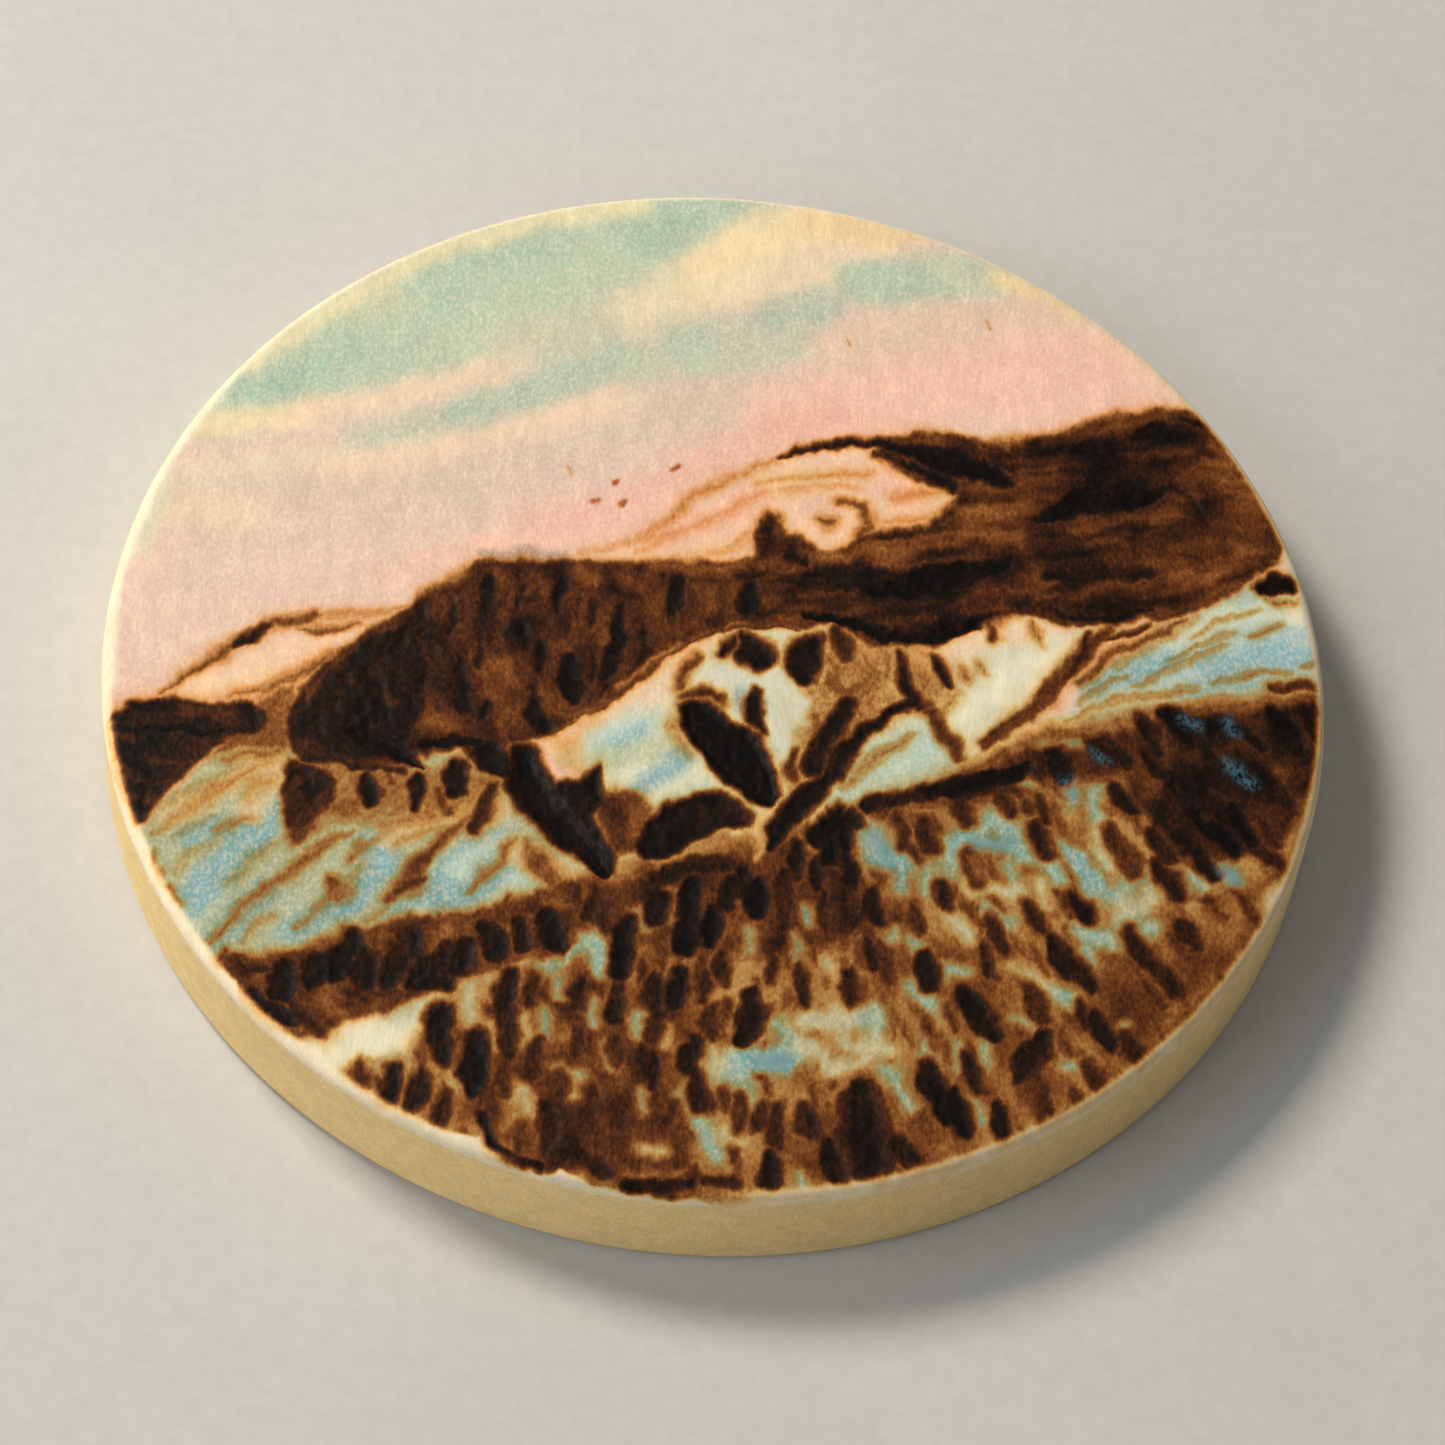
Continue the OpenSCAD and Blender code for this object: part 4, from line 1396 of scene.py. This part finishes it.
def picture_pieces():
    """One closed piece for each CAD layer, all cut from one surface with one set of normals."""
    grid_x, grid_y = disc_grid(CELLS, picture_r)
    x, y = grid_x.ravel(), grid_y.ravel()
    face = painted(x, y)
    z = face_z - relief(face)
    normals = field_normals(grid_x, grid_y, z.reshape(grid_x.shape)).reshape(-1, 3)
    owner = join_up(cell_owners(grid_x, grid_y))
    index = np.arange(x.size).reshape(grid_x.shape)
    slots = {s["node"]: s["material_slot"] for s in frame["record"]["subparts"]}
    for number, node in enumerate(layer_names()):
        mine = owner == number
        quads = np.stack([corner[mine] for corner in cell_corners(index)], 1)
        edges = border_edges(mine, index)
        tops = np.unique(quads)
        rim = np.unique(edges)
        to_top = numbering(x.size, tops, 0)
        to_low = numbering(x.size, rim, len(tops))
        sources = np.concatenate([tops, rim])
        heights = np.concatenate([z[tops], np.full(len(rim), pocket_z + LAYER_CLEARANCE)])
        points = np.stack([x[sources], y[sources], heights], 1)
        start, end = edges[:, 0], edges[:, 1]
        walls = np.stack([to_top[end], to_top[start], to_low[start], to_low[end]], 1)
        faces = [to_top[quads], walls, to_low[floor_faces(edges, x, y)]]
        mesh = make_mesh(node, points, faces, len(quads), normals[sources], face.part(sources))
        place(node + "_layer", mesh, node, slots[node])


# ---------------------------------------------------------------- the wood around and under it

def disc_profile():
    """Rows of (radius, height, distance travelled outward from the middle of the face).

    They run from the picture's edge over the side to near the middle of the underside.
    """
    flat_edge = disc_r - FACE_EDGE_R
    low_top = face_z - FACE_EDGE_R
    back_flat = disc_r - BACK_EDGE_R
    rows = [(picture_r, face_z, picture_r), (flat_edge, face_z, flat_edge)]
    for k in range(1, FACE_EDGE_STEPS + 1):
        a = math.pi / 2 * k / FACE_EDGE_STEPS
        r = flat_edge + FACE_EDGE_R * math.sin(a)
        z = face_z - FACE_EDGE_R * (1 - math.cos(a))
        rows.append((r, z, flat_edge + FACE_EDGE_R * a))
    for k in range(1, SIDE_STEPS + 1):
        z = low_top + (BACK_EDGE_R - low_top) * k / SIDE_STEPS
        rows.append((disc_r, z, disc_r + PAST_EDGE + low_top - z))
    for k in range(1, BACK_EDGE_STEPS + 1):
        a = math.pi / 2 * k / BACK_EDGE_STEPS
        r = disc_r - BACK_EDGE_R * (1 - math.cos(a))
        rows.append((r, BACK_EDGE_R * (1 - math.sin(a)), UNDRAWN))
    for k in range(1, UNDERSIDE_STEPS):
        rows.append((back_flat * (1 - k / UNDERSIDE_STEPS), 0, UNDRAWN))
    return rows


def pocket_profile():
    """Rows like the profile's, from near the middle of the pocket's floor to its edge."""
    rows = [(picture_r * (1 - k / POCKET_STEPS), pocket_z, UNDRAWN) for k in range(POCKET_STEPS)]
    return rows[::-1]


def rim_face(angles, travel):
    """The picture's fields carried over the face's edge, where they fade into the side's wood.

    The burning ends just inside the rim, but at the front it runs on over the edge.
    """
    count = len(angles)
    at_x = (travel[:, None] * np.cos(angles)).ravel()
    at_y = (travel[:, None] * np.sin(angles)).ravel()
    face = painted(at_x, at_y)
    turned = np.degrees(angles)
    over_front = step(*FRONT_FROM, turned) * (1 - step(*FRONT_TO, turned))
    edge_fade = 1 - 0.8 * step(*MOST_BURN_ENDS, travel)[:, None] * (1 - over_front)
    fade = (edge_fade * (1 - step(*ALL_BURN_ENDS, travel))[:, None]).ravel()
    ring_tint = np.repeat(step(*TINT_ENDS, travel), count)
    side_tint = np.repeat(step(*SIDE_COLOUR_STARTS, travel), count)
    face.burn *= fade
    face.depth *= fade
    face.blue *= 1 - ring_tint
    for colour, share in ((WOOD, ring_tint), (SIDE_WOOD, side_tint)):
        face.tint += share[:, None] * (np.array(colour, float) - face.tint)
    return face


def wood_points(angles, radius, height, travel, face):
    """The profile turned around the axis, sunk by the picture's relief and by a slight unevenness."""
    count, rows = len(angles), len(radius)
    cos, sin = np.cos(angles), np.sin(angles)
    sunk = relief(face) * np.repeat(travel < RELIEF_ENDS, count)
    over_edge = np.clip((travel - (disc_r - FACE_EDGE_R)) / FACE_EDGE_R, 0, math.pi / 2)
    turn = np.repeat(over_edge, count)
    z = np.repeat(height, count)
    wobble = WOBBLE * smooth_noise(np.tile(angles, rows) * WOBBLE_TURNS, z, 1.3, 0.9, 51)
    wobble = wobble * np.repeat(travel > WOBBLE_STARTS, count)
    inward = sunk * np.sin(turn) + np.abs(wobble) * np.repeat(height > LEVEL_FOOT, count)
    inward = np.maximum(inward, 0)
    x = (radius[:, None] * cos).ravel() - inward * np.tile(cos, rows)
    y = (radius[:, None] * sin).ravel() - inward * np.tile(sin, rows)
    return np.stack([x, y, z - sunk * np.cos(turn)], 1)


def wood_piece():
    """The disc with its pocket, as rings of points joined by bands of quads."""
    count = 4 * CELLS
    angles = -math.pi / 4 + np.arange(count) * 2 * math.pi / count
    pocket = pocket_profile()
    radius, height, travel = np.array(pocket + disc_profile(), float).T
    face = rim_face(angles, travel)
    points = wood_points(angles, radius, height, travel, face)
    ring = np.arange(count)
    following = (ring + 1) % count
    bands = []
    for k in range(len(radius) - 1):
        a, b = k * count, (k + 1) * count
        bands.append(np.stack([a + ring, b + ring, b + following, a + following], 1))
    last = (len(radius) - 1) * count
    shown = np.concatenate(bands[len(pocket):])
    quads = np.concatenate([shown] + bands[:len(pocket)])
    points = np.concatenate([points, [[0, 0, pocket_z], [0, 0, 0]]])
    hub = len(points) - 2
    caps = np.concatenate([
        np.stack([np.full(count, hub), ring, following], 1),
        np.stack([last + ring, np.full(count, hub + 1), last + following], 1),
    ])
    hubs = painted(np.array([HUB, HUB]), np.array([0.0, 0.0]))
    mesh = make_mesh("wood_disc", points, [quads, caps], len(shown), None, face.joined(hubs))
    mesh.set_sharp_from_angle(angle=math.radians(CREASE))
    place("wood_disc_body", mesh, "wood_disc", "bare_wood")


# ---------------------------------------------------------------- materials

MIX_FACTOR, MIX_A, MIX_B, MIX_RESULT = 0, 6, 7, 2  # the colour sockets of a Mix node


class Nodes:
    """Short names for building a material's node tree."""

    def __init__(self, name):
        self.material = bpy.data.materials.new(name)
        self.material.use_nodes = True
        self.tree = self.material.node_tree
        self.tree.nodes.clear()

    def add(self, kind, **settings):
        """A new node with some of its settings."""
        node = self.tree.nodes.new(kind)
        for key, value in settings.items():
            setattr(node, key, value)
        return node

    def link(self, source, target):
        self.tree.links.new(source, target)

    def feed(self, socket, value):
        """Links a node's output to a socket, or sets the socket to a plain value."""
        if isinstance(value, bpy.types.NodeSocket):
            self.link(value, socket)
        else:
            socket.default_value = value

    def math(self, operation, a, b=0.0, clamp=False):
        node = self.add("ShaderNodeMath", operation=operation, use_clamp=clamp)
        self.feed(node.inputs[0], a)
        self.feed(node.inputs[1], b)
        return node.outputs[0]

    def mix(self, factor, a, b, blend="MIX"):
        node = self.add("ShaderNodeMix", data_type="RGBA", blend_type=blend)
        node.clamp_factor = True
        self.feed(node.inputs[MIX_FACTOR], factor)
        self.feed(node.inputs[MIX_A], a)
        self.feed(node.inputs[MIX_B], b)
        return node.outputs[MIX_RESULT]

    def span(self, value, low, high, to_low=0.0, to_high=1.0):
        """Maps low..high smoothly onto to_low..to_high, and stays at the ends beyond them."""
        node = self.add("ShaderNodeMapRange", interpolation_type="SMOOTHSTEP")
        self.feed(node.inputs[0], value)
        for socket, number in zip(node.inputs[1:5], (low, high, to_low, to_high)):
            socket.default_value = number
        return node.outputs[0]

    def ramp(self, value, stops):
        """A colour that changes with a value through stops of (value, sRGB colour)."""
        node = self.add("ShaderNodeValToRGB")
        elements = node.color_ramp.elements
        while len(elements) < len(stops):
            elements.new(0.5)
        for element, (at, srgb) in zip(elements, stops):
            element.position = at
            element.color = (*to_linear(srgb), 1)
        self.feed(node.inputs[0], value)
        return node.outputs[0]

    def noise(self, place, per_mm, detail=2.0, roughness=0.5):
        """Noise with this many features per millimetre along each axis, from 0 to 1."""
        scaled = self.add("ShaderNodeVectorMath", operation="MULTIPLY")
        self.link(place, scaled.inputs[0])
        scaled.inputs[1].default_value = [n / MM for n in per_mm]
        node = self.add("ShaderNodeTexNoise")
        node.inputs["Scale"].default_value = 1.0
        node.inputs["Detail"].default_value = detail
        node.inputs["Roughness"].default_value = roughness
        self.link(scaled.outputs[0], node.inputs["Vector"])
        return node.outputs["Fac"]

    def attribute(self, name, output="Fac"):
        """One of the fields that are stored on the mesh."""
        return self.add("ShaderNodeAttribute", attribute_name=name).outputs[output]

    def finish(self, colour, roughness, specular=None, bump=None):
        """Ends the tree with a shader of this colour and roughness."""
        shader = self.add("ShaderNodeBsdfPrincipled")
        self.link(colour, shader.inputs["Base Color"])
        self.feed(shader.inputs["Roughness"], roughness)
        if specular is not None:
            shader.inputs["Specular IOR Level"].default_value = specular
        if bump is not None:
            self.link(bump, shader.inputs["Normal"])
        output = self.add("ShaderNodeOutputMaterial")
        self.link(shader.outputs[0], output.inputs["Surface"])
        return self.material


# Multiplies the wood's tint where it is lightly scorched.
TOAST = [
    (0.0, (255, 255, 255)), (0.12, (250, 234, 206)), (0.25, (236, 192, 126)), (0.4, (206, 142, 74)),
]
# The wood's own colour once it is burned through the tint.
SCORCH = [
    (0.25, (198, 154, 100)), (0.38, (162, 108, 54)), (0.5, (130, 76, 32)), (0.62, (98, 51, 19)),
    (0.74, (64, 31, 13)), (0.86, (32, 18, 10)), (1.0, (7, 6, 5)),
]
BLUE_PENCIL = (70, 116, 130)
FLOOR_COLOUR = (196, 194, 188)
# Features per millimetre along X, Y and Z. The grain runs along Y.
FIBRES = (9, 1.6, 9)
PORES = (7, 4.5, 7)
PATCHES = (1.3, 0.6, 1.3)
CRUMBS = (6.5, 3.4, 6.5)
FLOOR_CLOUDS = (0.04, 0.04, 0.04)
FLOOR_SPECKS = (1.2, 1.2, 1.2)
FLOOR_ROUGHNESS = 0.8
BUMP_HEIGHT = 0.012  # millimetres
BUMP_STRENGTH = 0.4
WOOD_SPECULAR = 0.07
BARE_ROUGHNESS = 0.62
PICTURE_ROUGHNESS = 0.66
CHAR_GLOSS = 0.16  # how much less rough charred wood is


def uneven_heat(n, crumbs, patches):
    """The burn, uneven as the burner skips and catches on the grain, most in half-burned wood."""
    burn = n.attribute("burn")
    fine = n.math("MULTIPLY", n.math("SUBTRACT", crumbs, 0.5), n.span(burn, 0.03, 0.4, 0.0, 0.5))
    broad = n.math("MULTIPLY", n.math("SUBTRACT", patches, 0.5), n.span(burn, 0.1, 0.5, 0.0, 0.32))
    return n.math("ADD", n.math("ADD", burn, fine), broad, clamp=True)


def tinted_wood(n, fibres, pores, patches):
    """The tint on the grain. Pigment catches on raised grain and leaves bare wood between."""
    bare = n.span(pores, 0.38, 0.72, 0.0, 0.34)
    drawn = n.mix(bare, n.attribute("tint", "Color"), (*to_linear(WOOD), 1))
    depth = n.span(patches, 0.3, 0.75, 0.93, 1.05)
    grain = n.math("MULTIPLY", n.span(fibres, 0.25, 0.8, 0.92, 1.06), depth)
    return n.mix(1.0, drawn, grain, "MULTIPLY")


def burned_colour(n, wood, heat, pores):
    """Toasts and then scorches the wood, and lays the blue pencil over it."""
    toasted = n.mix(1.0, wood, n.ramp(heat, TOAST), "MULTIPLY")
    burned = n.mix(n.span(heat, 0.2, 0.5), toasted, n.ramp(heat, SCORCH))
    pencil = n.math("MULTIPLY", n.attribute("blue"), n.span(pores, 0.36, 0.6))
    return n.mix(pencil, burned, (*to_linear(BLUE_PENCIL), 1))


def wood_bump(n, fibres, crumbs, heat):
    """Fine bumps: fibres, and crumbs that are higher where the wood is burned."""
    burned = n.math("MULTIPLY", crumbs, n.span(heat, 0.2, 0.9, 0.3, 2.2))
    bump = n.add("ShaderNodeBump")
    bump.inputs["Strength"].default_value = BUMP_STRENGTH
    bump.inputs["Distance"].default_value = BUMP_HEIGHT * MM
    n.link(n.math("ADD", n.math("MULTIPLY", fibres, 0.5), burned), bump.inputs["Height"])
    return bump.outputs[0]


def picture_material(name, roughness):
    """Wood that shows the fields stored on its mesh, with grain, pores and crumbs of char."""
    n = Nodes(name)
    place = n.add("ShaderNodeTexCoord").outputs["Object"]
    fibres = n.noise(place, FIBRES, detail=3.0, roughness=0.6)
    pores = n.noise(place, PORES, detail=2.0, roughness=0.6)
    patches = n.noise(place, PATCHES, detail=3.0, roughness=0.55)
    crumbs = n.noise(place, CRUMBS, detail=4.0, roughness=0.65)
    heat = uneven_heat(n, crumbs, patches)
    colour = burned_colour(n, tinted_wood(n, fibres, pores, patches), heat, pores)
    gloss = n.math("MULTIPLY", n.span(heat, 0.55, 0.9), -CHAR_GLOSS)
    rough = n.math("ADD", gloss, roughness)
    rough = n.math("ADD", rough, n.span(crumbs, 0.3, 0.7, -0.06, 0.08), clamp=True)
    return n.finish(colour, rough, WOOD_SPECULAR, wood_bump(n, fibres, crumbs, heat))


def floor_material():
    """A pale, matt floor with faint clouds and specks."""
    n = Nodes("pale_floor")
    place = n.add("ShaderNodeTexCoord").outputs["Object"]
    clouds = n.noise(place, FLOOR_CLOUDS, detail=4.0, roughness=0.6)
    specks = n.noise(place, FLOOR_SPECKS, detail=3.0, roughness=0.7)
    clouds, specks = (n.span(noise, 0.3, 0.7, -0.03, 0.03) for noise in (clouds, specks))
    shade = n.math("ADD", n.math("ADD", clouds, specks), 1.0)
    colour = n.mix(1.0, (*to_linear(FLOOR_COLOUR), 1), shade, "MULTIPLY")
    return n.finish(colour, FLOOR_ROUGHNESS)


# ---------------------------------------------------------------- camera, floor and light

def aimed(obj, position, target, roll=0.0):
    """Places obj, in millimetres, so that its -Z axis points at target."""
    toward = (Vector(target) - Vector(position)).normalized()
    right = toward.cross(Vector((0, 0, 1))).normalized()
    up = right.cross(toward)
    side = math.cos(roll) * right + math.sin(roll) * up
    top = -math.sin(roll) * right + math.cos(roll) * up
    turn = Matrix((side, top, -toward)).transposed().to_4x4()
    obj.matrix_world = Matrix.Translation(Vector(position) * MM) @ turn


# The photograph's camera, fitted to the disc's outline in it.
CAMERA_AT = (-9.97, -115.1, 167.9)
CAMERA_TARGET = (0.197, -3.114, 5.0)
CAMERA_ROLL = 6.07  # degrees
CAMERA_LENS = 121.9  # millimetres
CAMERA_SENSOR = 36  # millimetres wide
CAMERA_NEAR = 0.005  # metres

WORLD_COLOUR = (0.95, 0.97, 1.0, 1)
WORLD_STRENGTH = 0.2
FLOOR_HALF = 1.5  # metres


def add_camera():
    """The camera of the photograph."""
    data = bpy.data.cameras.new("camera")
    data.sensor_width = CAMERA_SENSOR
    data.lens = CAMERA_LENS
    data.clip_start = CAMERA_NEAR
    camera = bpy.data.objects.new("camera", data)
    bpy.context.scene.collection.objects.link(camera)
    aimed(camera, CAMERA_AT, CAMERA_TARGET, math.radians(CAMERA_ROLL))
    bpy.context.scene.camera = camera


def add_light(name, azimuth, elevation, distance, size, watts, colour):
    """A square soft light that shines at the disc.

    Azimuth and elevation say where it stands, in degrees, azimuth counterclockwise from +X.
    Distance and size are in millimetres.
    """
    data = bpy.data.lights.new(name, "AREA")
    data.size = size * MM
    data.energy = watts
    data.color = colour
    light = bpy.data.objects.new(name, data)
    bpy.context.scene.collection.objects.link(light)
    a, e = math.radians(azimuth), math.radians(elevation)
    flat = distance * math.cos(e)
    position = (flat * math.cos(a), flat * math.sin(a), distance * math.sin(e))
    aimed(light, position, (0, 0, 0))


def add_studio():
    """A warm key light from behind on the left, two wide fills and a dim sky."""
    add_light("key", 140, 47, 420, 120, 1.65, (1.0, 0.95, 0.87))
    add_light("left_window", 205, 30, 420, 320, 0.8, (0.9, 0.95, 1.0))
    add_light("front_fill", -70, 50, 500, 400, 0.1, (1.0, 0.95, 0.88))
    world = bpy.data.worlds.new("studio")
    world.use_nodes = True
    background = world.node_tree.nodes["Background"]
    background.inputs["Color"].default_value = WORLD_COLOUR
    background.inputs["Strength"].default_value = WORLD_STRENGTH
    bpy.context.scene.world = world
    bpy.context.scene.view_settings.view_transform = "Standard"


def add_floor():
    """A pale floor at height 0, which is staging and no part of the object."""
    mesh = bpy.data.meshes.new("floor")
    corners = [(x * FLOOR_HALF, y * FLOOR_HALF, 0) for x, y in ((-1, -1), (1, -1), (1, 1), (-1, 1))]
    mesh.from_pydata(corners, [], [(0, 1, 2, 3)])
    mesh.materials.append(floor_material())
    floor = bpy.data.objects.new("floor", mesh)
    bpy.context.scene.collection.objects.link(floor)


# ---------------------------------------------------------------- everything together

add_camera()
add_studio()
add_floor()
materials = {"bare_wood": picture_material("bare_wood", BARE_ROUGHNESS)}
for slot_name in ("sky_tint", "snow_tint", "scorched_wood", "charred_wood"):
    materials[slot_name] = picture_material(slot_name, PICTURE_ROUGHNESS)
picture_pieces()
wood_piece()
